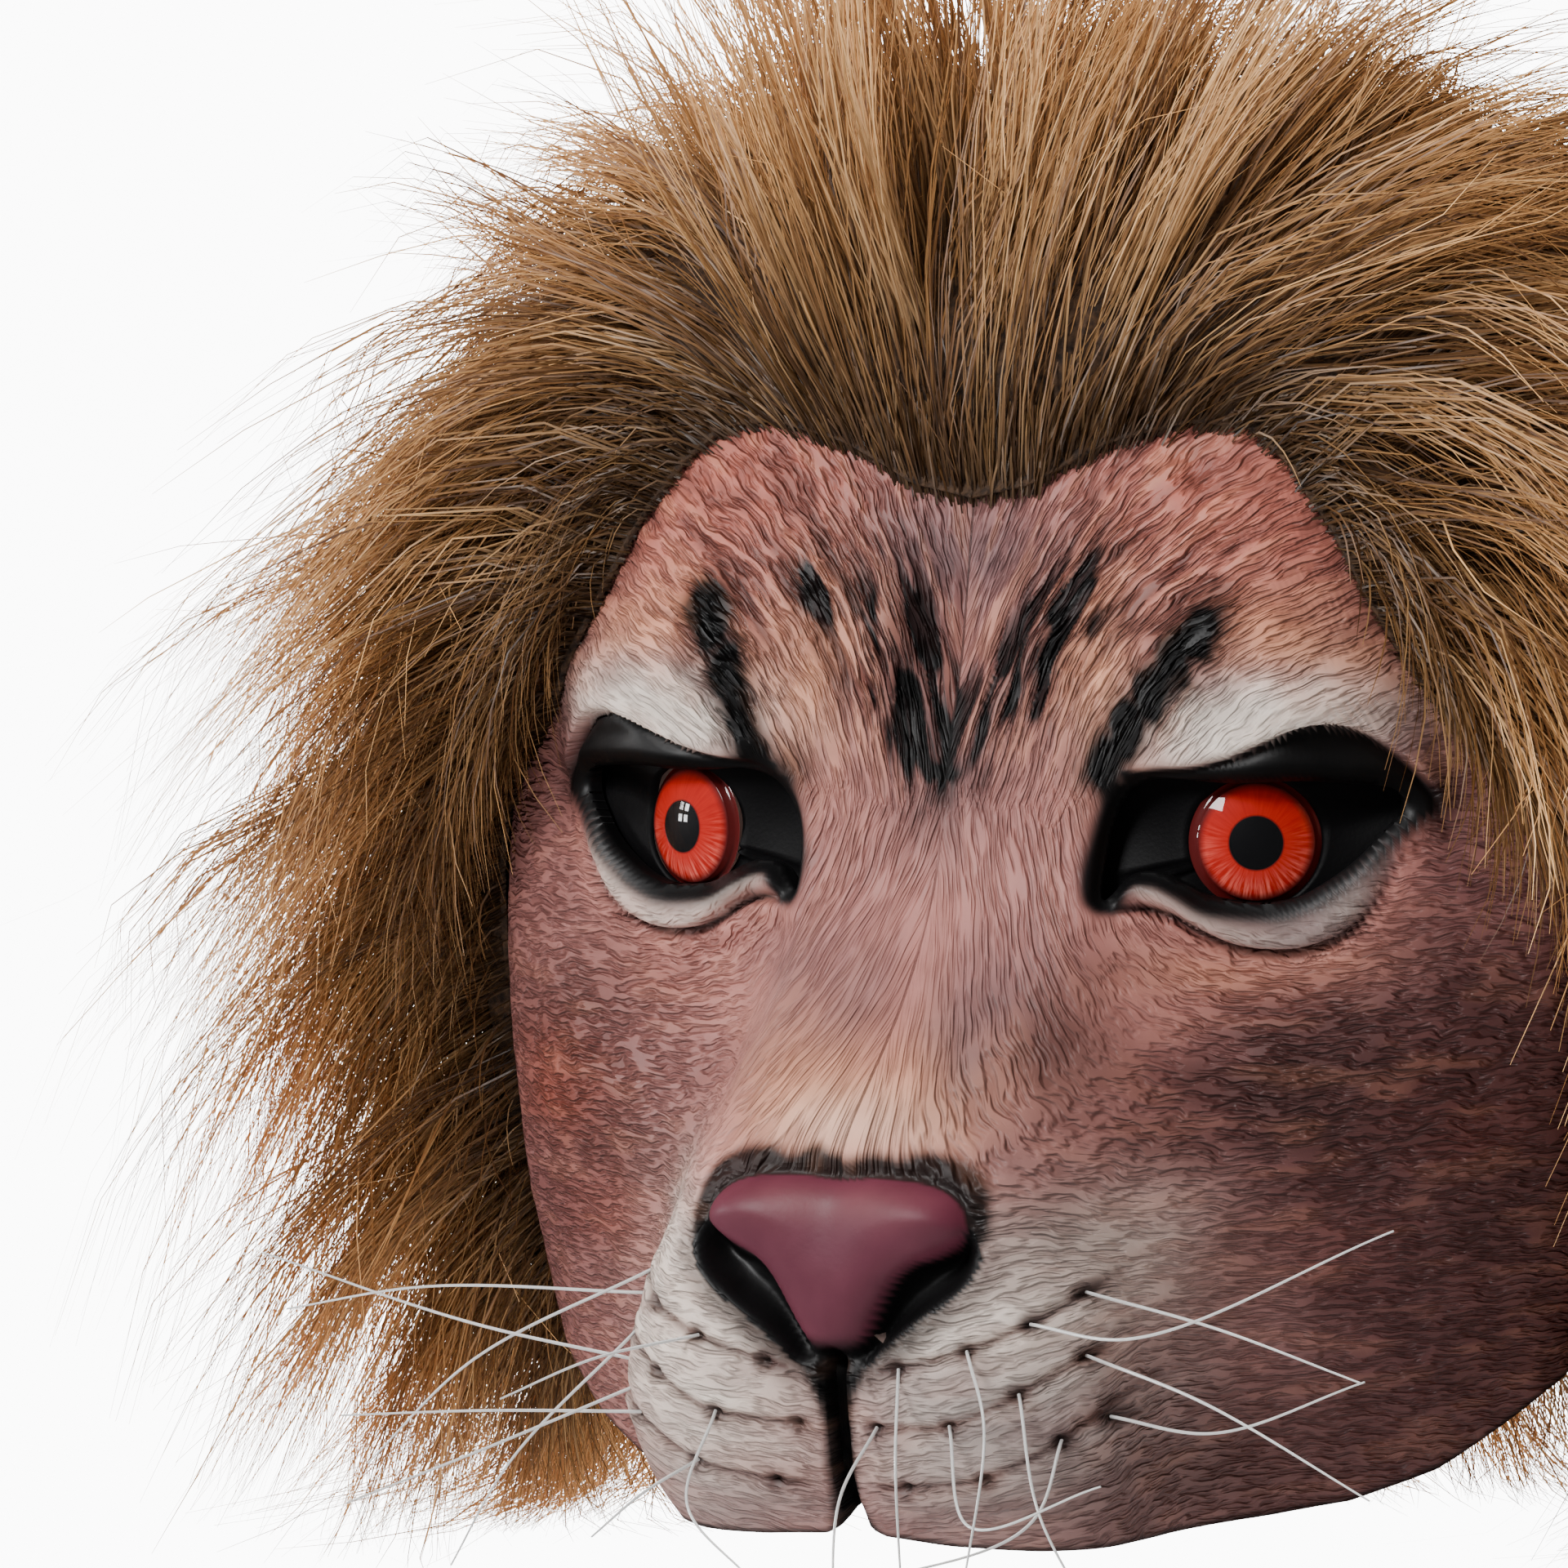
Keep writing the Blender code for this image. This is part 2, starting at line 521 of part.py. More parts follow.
def draw_lock(points, faces, cell, root, normal, length):
    """Draws a cell of the dense layer out into a lock that tapers along the pile's flow."""
    corners = np.array([points[i] for i in cell])
    centre = corners.mean(0)
    point, done, ring = centre, 0.0, list(cell)
    for share, width in LOCK_RINGS:
        for part in (0.25, 0.75):
            here = done + (share - done) * part
            point = point + pile_flow(root, normal, here) * length * (share - done) / 2
        done = share
        count = len(ring)
        if width == 0:
            faces += [(ring[k], ring[(k + 1) % count], len(points)) for k in range(count)]
            points.append(point)
            continue
        upper = [len(points) + k for k in range(count)]
        points.extend(point + (corners - centre) * width)
        faces += [(ring[k], ring[(k + 1) % count], upper[(k + 1) % count], upper[k]) for k in range(count)]
        ring = upper


def mane(parts, finish):
    """The fur round the latex: a dense layer of pile whose cells are drawn out into locks."""
    crown, lift = head_points(0.0, 0.0).reshape(3), np.array([0, 0, 1.0])

    inner_ways, inner_level, _ = mane_grid(1)
    inner = head_points(inner_ways, inner_level) + head_normals(inner_ways, inner_level) * FUR_SEAT
    inner[:, [0, -1], 0] = 0
    inner_rows, inner_columns = inner_ways.shape
    points = [crown + lift * FUR_SEAT, *inner.reshape(-1, 3)]
    faces = [tuple(reversed(cell)) for cell in grid_faces(inner_rows, inner_columns, 1)]
    faces += [(0, 2 + c, 1 + c) for c in range(inner_columns - 1)]

    ways, level, share = mane_grid(2)
    rise = np.clip((1 - share) / PILE_RAMP, 0, 1)
    thick = PILE_EDGE + (PILE - PILE_EDGE) * rise * (2 - rise)
    outer = head_points(ways, level) + head_normals(ways, level) * (FUR_SEAT + thick[..., None])
    outer[:, [0, -1], 0] = 0
    rows, columns = ways.shape
    top = len(points)
    points += [crown + lift * (FUR_SEAT + PILE), *outer.reshape(-1, 3)]
    low, high = 1 + (inner_rows - 1) * inner_columns, top + 1 + (rows - 1) * columns
    for c in range(columns - 1):
        faces.append((low + 2 * c, low + 2 * c + 1, low + 2 * c + 2, high + c + 1, high + c))
    cells = [(top, top + 1 + c, top + 2 + c) for c in range(columns - 1)] + grid_faces(rows, columns, top + 1)
    for number, cell in enumerate(cells):
        places = [(i - top - 1) for i in cell if i > top]
        way = float(np.mean([ways.flat[i] for i in places]))
        depth = float(np.sum([level.flat[i] for i in places]) / len(cell))
        root, normal = head_points(way, depth).reshape(3), head_normals(way, depth).reshape(3)
        swell = 1 + LOCK_VARIATION * math.sin(2.4 * number)
        length = np.interp((root[2] + EYE_DROP) / FACE_HEIGHT, *LOCK_LENGTHS.T) * LOCK_LENGTH * swell
        draw_lock(points, faces, cell, root, normal, length)
    fur = add_object("mane", mesh_of("mane", points, faces), parts, finish)
    mirror_across(fur)
    return fur


def whisker(name, row, skin, parts, finish):
    """A nylon whisker, rooted on the latex at a hole of the muzzle pad."""
    start = Vector((row.side * row.across * HALF_WIDTH, -2 * FACE_REACH, row.up * FACE_HEIGHT - EYE_DROP))
    hole, normal, _, _ = skin.ray_cast(start, Vector((0, 1, 0)))
    normal = np.array(normal)
    root = np.array(hole) + normal * (GAP + WHISKER_RADIUS)
    offset = lambda out, up, fore: np.array([row.side * out, -fore, up]) * WHISKER_LENGTH
    mid = root + offset(row.mid_out, row.mid_up, row.mid_fore)
    tip = root + offset(row.tip_out, row.tip_up, row.tip_fore)
    marks = np.array([root, root + normal * WHISKER_STEM, mid, tip])
    run = np.concatenate([[0], np.cumsum(np.linalg.norm(np.diff(marks, axis=0), axis=1))])
    curve = bpy.data.curves.new(name, "CURVE")
    curve.dimensions = "3D"
    curve.bevel_depth = WHISKER_RADIUS
    curve.bevel_resolution = 1
    curve.use_fill_caps = True
    spline = curve.splines.new("POLY")
    places = smooth(run, marks, np.linspace(0, run[-1], WHISKER_STEPS + 1))
    spline.points.add(len(places) - 1)
    for point, place in zip(spline.points, places):
        point.co = (*place, 1)
    return add_object(name, curve, parts, finish)


def main():
    for old in list(bpy.data.objects):
        bpy.data.objects.remove(old, do_unlink=True)
    parts = bpy.data.collections.new("lion_mask")
    cutters = bpy.data.collections.new("cutters")
    for collection in (parts, cutters):
        bpy.context.scene.collection.children.link(collection)

    latex = material("painted_latex", (0.42, 0.20, 0.17), 0.55)
    black = material("black_panel", (0.012, 0.012, 0.014), 0.60)
    red = material("red_eye", (0.60, 0.04, 0.02), 0.12)
    fur = material("golden_fur", (0.30, 0.15, 0.06), 0.70)
    nylon = material("white_nylon", (0.85, 0.84, 0.80), 0.35)

    shell = latex_mask(parts, cutters, latex)
    skin = BVHTree.FromObject(shell, bpy.context.evaluated_depsgraph_get())
    for side in (1, -1):
        eye_panel(side, parts, black)
        eye(side, parts, red)
    mane(parts, fur)
    for number, row in enumerate(WHISKERS, 1):
        whisker(f"whisker_{number:02d}", Whisker(*row), skin, parts, nylon)


main()
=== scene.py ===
"""Looks of a latex lion mask: painted latex, domed red eyes in black panels, nylon whiskers and a fur mane.

Metres, +Z up. The face looks along -Y, and the origin is the inside of the crown. Tables of the face are in
millimetres: across from the middle plane, and up from the eyes' line.
"""

import math

import bmesh
import bpy
import numpy as np
from mathutils import Matrix, Vector


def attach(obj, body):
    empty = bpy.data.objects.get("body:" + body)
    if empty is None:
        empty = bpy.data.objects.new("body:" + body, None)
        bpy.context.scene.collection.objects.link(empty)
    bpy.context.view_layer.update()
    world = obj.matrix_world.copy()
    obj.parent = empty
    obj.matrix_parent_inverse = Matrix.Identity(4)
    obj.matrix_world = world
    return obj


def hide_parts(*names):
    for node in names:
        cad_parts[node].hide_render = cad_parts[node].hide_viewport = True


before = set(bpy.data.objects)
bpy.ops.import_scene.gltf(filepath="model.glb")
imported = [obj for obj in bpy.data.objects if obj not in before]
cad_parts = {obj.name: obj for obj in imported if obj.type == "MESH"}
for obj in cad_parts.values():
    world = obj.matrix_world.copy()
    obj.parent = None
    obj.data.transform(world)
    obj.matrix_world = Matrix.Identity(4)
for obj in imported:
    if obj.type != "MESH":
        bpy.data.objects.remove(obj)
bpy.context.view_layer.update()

MM = 0.001

# The head's sizes, and its level sections in shares of them
HALF_WIDTH = 0.100
FACE_REACH = 0.100
FACE_HEIGHT = 0.200
BACK_REACH = 0.100
EYE_DROP = 0.115
LATEX = 0.0025
SECTION_COLUMNS = (
    "height nose_y bridge_x bridge_y wall_x wall_y cheek_x cheek_y bone_x bone_y side_x side_y back_y"
).split()
SECTIONS = np.array([
    [0.340, 0.700, 0.16, 0.708, 0.36, 0.712, 0.59, 0.660, 0.80, 0.52, 0.95, 0.32, 0.98],
    [0.270, 0.742, 0.16, 0.755, 0.36, 0.768, 0.60, 0.732, 0.81, 0.58, 0.97, 0.37, 1.00],
    [0.200, 0.776, 0.17, 0.795, 0.36, 0.818, 0.61, 0.790, 0.83, 0.63, 0.99, 0.42, 1.00],
    [0.140, 0.806, 0.19, 0.826, 0.38, 0.848, 0.62, 0.828, 0.85, 0.66, 1.01, 0.47, 1.00],
    [0.070, 0.845, 0.21, 0.855, 0.35, 0.862, 0.62, 0.838, 0.86, 0.68, 1.02, 0.50, 1.00],
    [0.000, 0.880, 0.22, 0.872, 0.31, 0.855, 0.58, 0.812, 0.86, 0.68, 1.03, 0.52, 1.00],
    [-0.070, 0.925, 0.23, 0.905, 0.33, 0.860, 0.60, 0.798, 0.87, 0.69, 1.04, 0.53, 0.99],
    [-0.150, 1.040, 0.24, 1.000, 0.38, 0.865, 0.62, 0.785, 0.88, 0.69, 1.04, 0.53, 0.97],
    [-0.225, 1.190, 0.25, 1.140, 0.42, 0.900, 0.65, 0.795, 0.89, 0.69, 1.04, 0.52, 0.94],
    [-0.290, 1.305, 0.27, 1.260, 0.46, 0.950, 0.67, 0.805, 0.89, 0.68, 1.03, 0.51, 0.91],
    [-0.360, 1.345, 0.32, 1.300, 0.49, 0.980, 0.68, 0.805, 0.89, 0.66, 1.02, 0.49, 0.88],
    [-0.440, 1.335, 0.38, 1.285, 0.51, 1.000, 0.69, 0.795, 0.88, 0.64, 1.00, 0.46, 0.86],
    [-0.510, 1.315, 0.40, 1.265, 0.51, 1.000, 0.69, 0.785, 0.87, 0.61, 0.98, 0.43, 0.85],
    [-0.570, 1.280, 0.38, 1.220, 0.50, 0.970, 0.67, 0.765, 0.85, 0.58, 0.95, 0.40, 0.84],
    [-0.640, 1.200, 0.34, 1.120, 0.46, 0.900, 0.63, 0.715, 0.81, 0.53, 0.90, 0.35, 0.83],
])
CROWN_ANGLES = (90, 68, 46, 23)

# Broad raised and sunk forms: across, up, half spread across and up in mm, turn in degrees, rise in mm
RELIEF = {
    "upper_lid": (66, 21, 15, 5.0, 4, 3.4),
    "brow": (50, 31, 24, 7.5, -8, 1.8),
    "frown": (15, 30, 7, 12, 20, 1.6),
    "frown_valley": (0, 26, 4.5, 13, 0, -1.2),
    "inner_corner": (33, -4, 6, 9, 0, -2.2),
    "outer_corner": (84, 3, 7, 8, 0, -2.4),
    "under_eye": (58, -27, 20, 5.5, 0, -3.2),
    "cheek": (72, -48, 17, 15, 20, 2.4),
    "bridge_side": (27, -36, 7, 11, 10, -1.0),
    "nose_top": (0, -50, 17, 9, 0, 1.4),
    "muzzle_lobe": (25, -97, 16, 14, -12, 3.6),
    "muzzle_low": (22, -114, 17, 8, 0, 2.2),
    "pad_groove": (59, -90, 5.5, 20, 8, -3.2),
}

# The latex's lower edge and the mane's front edge: way round, with nose 0, side 1 and back 2, and height
LIP_EDGE = np.array([
    [0.00, -0.588], [0.03, -0.602], [0.09, -0.608], [0.17, -0.610], [0.34, -0.607], [0.52, -0.598],
    [0.63, -0.590], [0.75, -0.566], [0.86, -0.528], [0.93, -0.502], [1.00, -0.486], [1.20, -0.490],
    [2.00, -0.500],
])
HAIRLINE = np.array([
    [0.00, 0.270], [0.15, 0.282], [0.30, 0.318], [0.435, 0.336], [0.52, 0.330], [0.58, 0.300],
    [0.65, 0.245], [0.715, 0.165], [0.785, 0.090], [0.885, 0.025], [0.95, -0.030], [0.985, -0.130],
    [1.01, -0.260], [1.03, -0.400], [1.07, -0.485], [2.00, -0.495],
])

# Outlines of the eye openings, the nose pad and the nostrils, and the lids' fold lines, in mm
EYE_OUTLINE = (
    (29.6, -14.2), (33.8, -9.8), (38.5, -9.4), (43.0, -11.2), (48.0, -13.6), (56.0, -14.7), (62.0, -13.6),
    (67.0, -10.8), (72.0, -6.8), (76.0, -2.4), (79.0, 1.6), (77.5, 5.2), (70.0, 6.2), (63.0, 6.6),
    (55.0, 6.2), (47.0, 6.4), (40.0, 6.8), (35.0, 5.4), (32.0, 2.2), (30.2, -2.2), (29.3, -8.0),
)
NOSE_OUTLINE = (
    (0.0, -58.6), (8.0, -58.2), (16.0, -58.9), (21.2, -61.0), (24.0, -64.8), (23.4, -68.2), (19.5, -70.6),
    (14.6, -72.4), (11.4, -75.4), (8.8, -79.6), (6.2, -84.4), (3.2, -87.6), (0.0, -88.6),
)
NOSTRIL_OUTLINE = (
    (24.5, -66.5), (26.6, -71.0), (24.5, -75.5), (20.0, -79.0), (15.0, -82.5), (10.0, -86.5), (6.0, -90.0),
    (3.5, -89.0), (5.0, -85.0), (8.0, -79.5), (11.0, -74.5), (15.0, -71.0), (20.0, -68.5),
)
LID_FOLD = (
    (33.0, 8.2), (38.0, 8.0), (44.0, 8.6), (52.0, 10.4), (58.0, 12.8), (64.0, 15.4), (69.0, 16.2),
    (74.0, 14.6), (78.5, 10.5), (81.5, 6.0), (83.0, 1.0),
)
LOWER_CREASE = (
    (78.6, -2.0), (77.2, -8.5), (74.2, -15.0), (69.5, -20.0), (63.0, -22.8), (57.0, -23.3), (51.0, -22.4),
    (46.0, -20.0), (41.0, -17.0), (36.0, -15.6), (31.0, -16.2),
)
# The lids' edges at the eye opening, which close the outlines of the lids
UPPER_RIM = (
    (79.5, 0.5), (77.5, 5.0), (70.0, 6.0), (63.0, 6.4), (55.0, 6.0), (47.0, 6.2), (40.0, 6.6), (35.0, 5.4),
)
LOWER_RIM = (
    (30.5, -13.6), (34.0, -10.2), (38.5, -9.6), (43.0, -11.4), (48.0, -13.8), (56.0, -14.9), (62.0, -13.8),
    (67.0, -11.0), (72.0, -7.0), (76.0, -2.6),
)
# The rows of whisker holes, the holes themselves, and the black streaks at the brows' inner ends
WHISKER_ROWS = (
    ((7.5, -91.2), (12.4, -90.0), (25.2, -86.2), (35.2, -81.6), (41.0, -77.1), (47.0, -70.0)),
    ((4.5, -100.8), (7.4, -100.5), (21.9, -99.1), (33.9, -93.2), (42.6, -87.3), (49.0, -80.0)),
    ((5.0, -111.0), (12.2, -110.7), (27.0, -108.3), (39.8, -101.3), (46.5, -94.0), (51.0, -88.0)),
)
HOLES = (
    (12.4, -90.0), (25.2, -86.2), (35.2, -81.6), (41.0, -77.1), (7.4, -100.5), (21.9, -99.1), (33.9, -93.2),
    (42.6, -87.3), (12.2, -110.7), (27.0, -108.3), (39.8, -101.3), (45.5, -98.0),
)
BROW_STREAK_LEFT = ((48.5, 34.0), (43.5, 28.0), (38.0, 21.0), (33.0, 14.5), (29.0, 8.0))
BROW_STREAK_RIGHT = ((47.0, 36.0), (44.5, 28.0), (41.5, 19.0), (38.8, 12.0), (36.0, 6.5))

# The lie of the sculpted fur above and below the eyes: across and up in mm, and its angle from straight out
UPPER_LIE = np.array([
    (0, 62, 90), (0, 30, 90), (0, 5, 90), (0, -12, 90), (14, 32, 66), (24, 45, 56), (22, 15, 78),
    (34, 24, 60), (38, 52, 48), (52, 48, 40), (50, 22, 36), (64, 30, 26), (70, 18, 14), (80, 30, 20),
    (84, 10, 4), (98, 4, 0), (20, -8, 86), (5, 32, 86), (5, 10, 89), (5, 50, 84), (6, -5, 90),
], float)
LOWER_LIE = np.array([
    (0, 5, -90), (0, -25, -90), (0, -52, -90), (20, -5, -86), (18, -25, -76), (26, -32, -60), (22, -50, -58),
    (34, -28, -40), (45, -30, -15), (58, -30, -2), (70, -25, 8), (82, -12, 4), (98, 0, 0), (90, -40, -5),
    (75, -50, -9), (60, -50, -12), (45, -50, -20), (36, -60, -30), (98, -70, -3), (80, -80, 0), (65, -75, -2),
    (60, -100, 5), (85, -100, 5), (30, -75, 12), (40, -90, 24), (20, -95, 14), (45, -110, 20), (20, -112, 10),
], float)


def smooth(knots, rows, at):
    """Reads a smooth curve that passes through the rows at the knots."""
    slopes = np.gradient(rows, knots, axis=0)
    i = np.clip(np.searchsorted(knots, at, side="right") - 1, 0, len(knots) - 2)
    step = (knots[i + 1] - knots[i])[:, None]
    t = (at[:, None] - knots[i][:, None]) / step
    return (
        rows[i] * (1 + 2 * t) * (1 - t) ** 2
        + rows[i + 1] * t**2 * (3 - 2 * t)
        + slopes[i] * step * t * (1 - t) ** 2
        - slopes[i + 1] * step * t**2 * (1 - t)
    )


def head_levels():
    """The sections in metres, below those of the crown, which close to a point along a quarter ellipse."""
    across = [SECTION_COLUMNS.index(name) for name in SECTION_COLUMNS if name.endswith("_x")]
    forward = [SECTION_COLUMNS.index(name) for name in SECTION_COLUMNS if name.endswith("_y")]
    levels = SECTIONS.copy()
    levels[:, 0] = levels[:, 0] * FACE_HEIGHT - EYE_DROP
    levels[:, across] *= HALF_WIDTH
    levels[:, forward] *= -FACE_REACH
    levels[:, -1] = SECTIONS[:, -1] * BACK_REACH
    crown = []
    for degrees in CROWN_ANGLES:
        angle = math.radians(degrees)
        level = levels[0] * math.cos(angle)
        level[0] = levels[0, 0] + (LATEX - levels[0, 0]) * math.sin(angle)
        crown.append(level)
    return np.array(crown + list(levels))


LEVELS = head_levels()
LEVEL_KNOTS = np.arange(len(LEVELS), dtype=float)
FINE_KNOTS = np.linspace(0, LEVEL_KNOTS[-1], 1200)
FINE_HEIGHTS = smooth(LEVEL_KNOTS, LEVELS[:, :1], FINE_KNOTS)[:, 0]


def level_at(z):
    """The level, counted down from the crown, that lies at a height in metres."""
    return np.interp(-np.asarray(z), -FINE_HEIGHTS, FINE_KNOTS)


def turned_gauss(x, h, row, mirrored=True):
    """A soft oval patch of one table row, on both sides of the face or on one."""
    across, up, half_across, half_up, turn = row[:5]
    angle = math.radians(turn)
    dx, dh = (np.abs(x) if mirrored else x) - across, h - up
    along = dx * math.cos(angle) + dh * math.sin(angle)
    over = dh * math.cos(angle) - dx * math.sin(angle)
    return np.exp(-((along / half_across) ** 2) - (over / half_up) ** 2)


def head_points(around, level, plain=False):
    """Points of the latex's outer face on the wearer's left: around runs nose 0, side 1, back 2."""
    around, level = np.broadcast_arrays(np.asarray(around, float), np.asarray(level, float))
    shape = around.shape
    u, rows = around.ravel(), smooth(LEVEL_KNOTS, LEVELS, level.ravel())
    z = rows[:, 0]
    px = np.concatenate([0 * rows[:, :1], rows[:, 2:-1:2]], 1)
    py = np.concatenate([rows[:, 1:2], rows[:, 3:-1:2]], 1)
    mx, my = np.empty_like(px), np.empty_like(py)
    mx[:, 1:-1], my[:, 1:-1] = (px[:, 2:] - px[:, :-2]) / 2, (py[:, 2:] - py[:, :-2]) / 2
    mx[:, 0], my[:, 0] = px[:, 1], 0
    mx[:, -1], my[:, -1] = 0, py[:, -1] - py[:, -2]
    spans = px.shape[1] - 1
    i = np.clip((u * spans).astype(int), 0, spans - 1)
    t = np.clip(u * spans - i, 0, 1)
    pick = np.arange(len(u))
    weights = ((1 + 2 * t) * (1 - t) ** 2, t**2 * (3 - 2 * t), t * (1 - t) ** 2, -(t**2) * (1 - t))

    def blend(p, m):
        ends = (p[pick, i], p[pick, i + 1], m[pick, i], m[pick, i + 1])
        return sum(weight * end for weight, end in zip(weights, ends))

    angle = np.clip(u - 1, 0, 1) * math.pi / 2
    x = np.where(u <= 1, blend(px, mx), px[:, -1] * np.cos(angle))
    y = np.where(u <= 1, blend(py, my), py[:, -1] + (rows[:, -1] - py[:, -1]) * np.sin(angle))
    if not plain:
        fade = np.clip((1 - u) / 0.12, 0, 1)
        lift = sum(turned_gauss(x / MM, (z + EYE_DROP) / MM, row) * row[5] for row in RELIEF.values())
        y = y - lift * MM * fade * fade * (3 - 2 * fade)
    x = np.where(u >= 2, 0, x)
    return np.stack([x, y, z], 1).reshape(*shape, 3)


def head_normals(around, level, plain=False):
    """Outward directions of the latex's outer face."""
    around, level = np.broadcast_arrays(np.asarray(around, float), np.asarray(level, float))
    du, dv = 0.004, 0.04
    low, high = np.clip(around - du, 0, 2), np.clip(around + du, 0, 2)
    above = np.clip(level - dv, 0, LEVEL_KNOTS[-1])
    below = np.clip(level + dv, 0, LEVEL_KNOTS[-1])
    normal = np.cross(
        head_points(around, below, plain) - head_points(around, above, plain),
        head_points(high, level, plain) - head_points(low, level, plain),
    )
    normal /= np.maximum(np.linalg.norm(normal, axis=-1, keepdims=True), 1e-12)
    normal[..., 0] = np.where((around <= 0) | (around >= 2), 0, normal[..., 0])
    normal = np.where((level < 0.01)[..., None], [0, 0, 1], normal)
    return normal / np.linalg.norm(normal, axis=-1, keepdims=True)


def up_from_eyes(points):
    """Heights of points above the eyes' line, in mm."""
    return (points[..., 2] + EYE_DROP) / MM


def face_place(x, z):
    """The way round and the level of a place on the face that is seen from the front at x and z in metres."""
    x, z = np.atleast_1d(x).astype(float), np.atleast_1d(z).astype(float)
    level = level_at(z)
    tries = np.linspace(0, 1, 400)
    rows = head_points(tries[None, :], level[:, None])
    around = np.array([np.interp(abs(a), np.maximum.accumulate(row[:, 0]), tries) for a, row in zip(x, rows)])
    return around, level


def rounded(points, closed=True, steps=8):
    """A smooth curve through given points."""
    p = np.array(points, float)
    if closed:
        p = np.vstack([p[-2:], p, p[:2]])
        knots = np.arange(len(p), dtype=float)
        at = np.arange(2, len(p) - 2 + 1e-9, 1 / steps)
        return smooth(knots, p, at)
    knots = np.arange(len(p), dtype=float)
    return smooth(knots, p, np.linspace(0, len(p) - 1, (len(p) - 1) * steps + 1))


def line_distance(x, h, line, reach=1e9):
    """Distance to a line, which side of it (1 is left of its run), the nearest point and how far along."""
    shape = x.shape
    best = np.full(x.size, float(reach))
    side, share = np.ones(x.size), np.zeros(x.size)
    near = np.zeros((x.size, 2))
    px, ph = x.ravel(), h.ravel()
    low, high = line.min(0) - min(reach, 1e6), line.max(0) + min(reach, 1e6)
    pick = np.flatnonzero((px > low[0]) & (px < high[0]) & (ph > low[1]) & (ph < high[1]))
    qx, qh = px[pick], ph[pick]
    count = len(line) - 1
    for k in range(count):
        a, b = line[k], line[k + 1]
        run = b - a
        t = np.clip(((qx - a[0]) * run[0] + (qh - a[1]) * run[1]) / max(run @ run, 1e-12), 0, 1)
        cx, ch = a[0] + run[0] * t, a[1] + run[1] * t
        gap = np.hypot(qx - cx, qh - ch)
        better = gap < best[pick]
        hit = pick[better]
        best[hit] = gap[better]
        cross = run[0] * (qh - a[1]) - run[1] * (qx - a[0])
        side[hit] = np.where(cross[better] >= 0, 1, -1)
        share[hit] = (k + t[better]) / count
        near[hit] = np.stack([cx, ch], 1)[better]
    return best.reshape(shape), side.reshape(shape), near.reshape(*shape, 2), share.reshape(shape)


def outline_depth(x, h, outline, reach=1e9):
    """Distance to a closed outline, positive inside it, in mm."""
    line = np.vstack([outline, outline[:1]])
    gap, _, _, _ = line_distance(x, h, line, reach)
    inside = np.zeros(x.shape, bool)
    for (ax, ah), (bx, bh) in zip(line[:-1], line[1:]):
        cross = (ah > h) != (bh > h)
        inside ^= cross & (x < (bx - ax) * (h - ah) / ((bh - ah) or 1e-12) + ax)
    return np.where(inside, gap, -gap)


def step(value, low, high):
    """A smooth step from 0 at low to 1 at high."""
    t = np.clip((value - low) / (high - low), 0, 1)
    return t * t * (3 - 2 * t)


def lattice_noise(a, b, seed):
    """Smooth seeded noise over two coordinates, between -1 and 1."""
    table = np.random.default_rng(seed).uniform(-1, 1, (256, 256))
    ia, ib = np.floor(a).astype(int), np.floor(b).astype(int)
    fa, fb = a - ia, b - ib
    fa, fb = fa * fa * (3 - 2 * fa), fb * fb * (3 - 2 * fb)
    at = lambda i, j: table[i % 256, j % 256]
    low = at(ia, ib) * (1 - fa) + at(ia + 1, ib) * fa
    high = at(ia, ib + 1) * (1 - fa) + at(ia + 1, ib + 1) * fa
    return low * (1 - fb) + high * fb


# The grid of the table of lengths along the skin: ways round and levels
ARC_REACH = 1.2
ARC_WAYS = np.linspace(0, ARC_REACH, 241)
ARC_LEVELS = np.linspace(0, LEVEL_KNOTS[-1], 96)


def arc_table():
    """Lengths along the skin at each level and way round."""
    points = head_points(ARC_WAYS[None, :], ARC_LEVELS[:, None])
    lengths = np.linalg.norm(np.diff(points, axis=1), axis=2) / MM
    return np.concatenate([np.zeros((len(ARC_LEVELS), 1)), np.cumsum(lengths, 1)], 1)


ARCS = arc_table()


def read_grid(grid, row, column):
    """Reads a grid of values between its points."""
    row = np.clip(row, 0, grid.shape[0] - 1.001)
    column = np.clip(column, 0, grid.shape[1] - 1.001)
    i, j = row.astype(int), column.astype(int)
    a, b = row - i, column - j
    top = grid[i, j] * (1 - b) + grid[i, j + 1] * b
    return top * (1 - a) + (grid[i + 1, j] * (1 - b) + grid[i + 1, j + 1] * b) * a


def arc_at(around, level):
    """How far a point lies from the middle plane along the skin, in mm."""
    row = level / LEVEL_KNOTS[-1] * (len(ARC_LEVELS) - 1)
    return read_grid(ARCS, row, around / ARC_REACH * (len(ARC_WAYS) - 1))


# The fur's own coordinates over the skin: across the lie and along it, in mm
LIE_STEP = 1.5
LIE_LOW, LIE_HIGH = -126.0, 84.0
LIE_REACH = 186.0


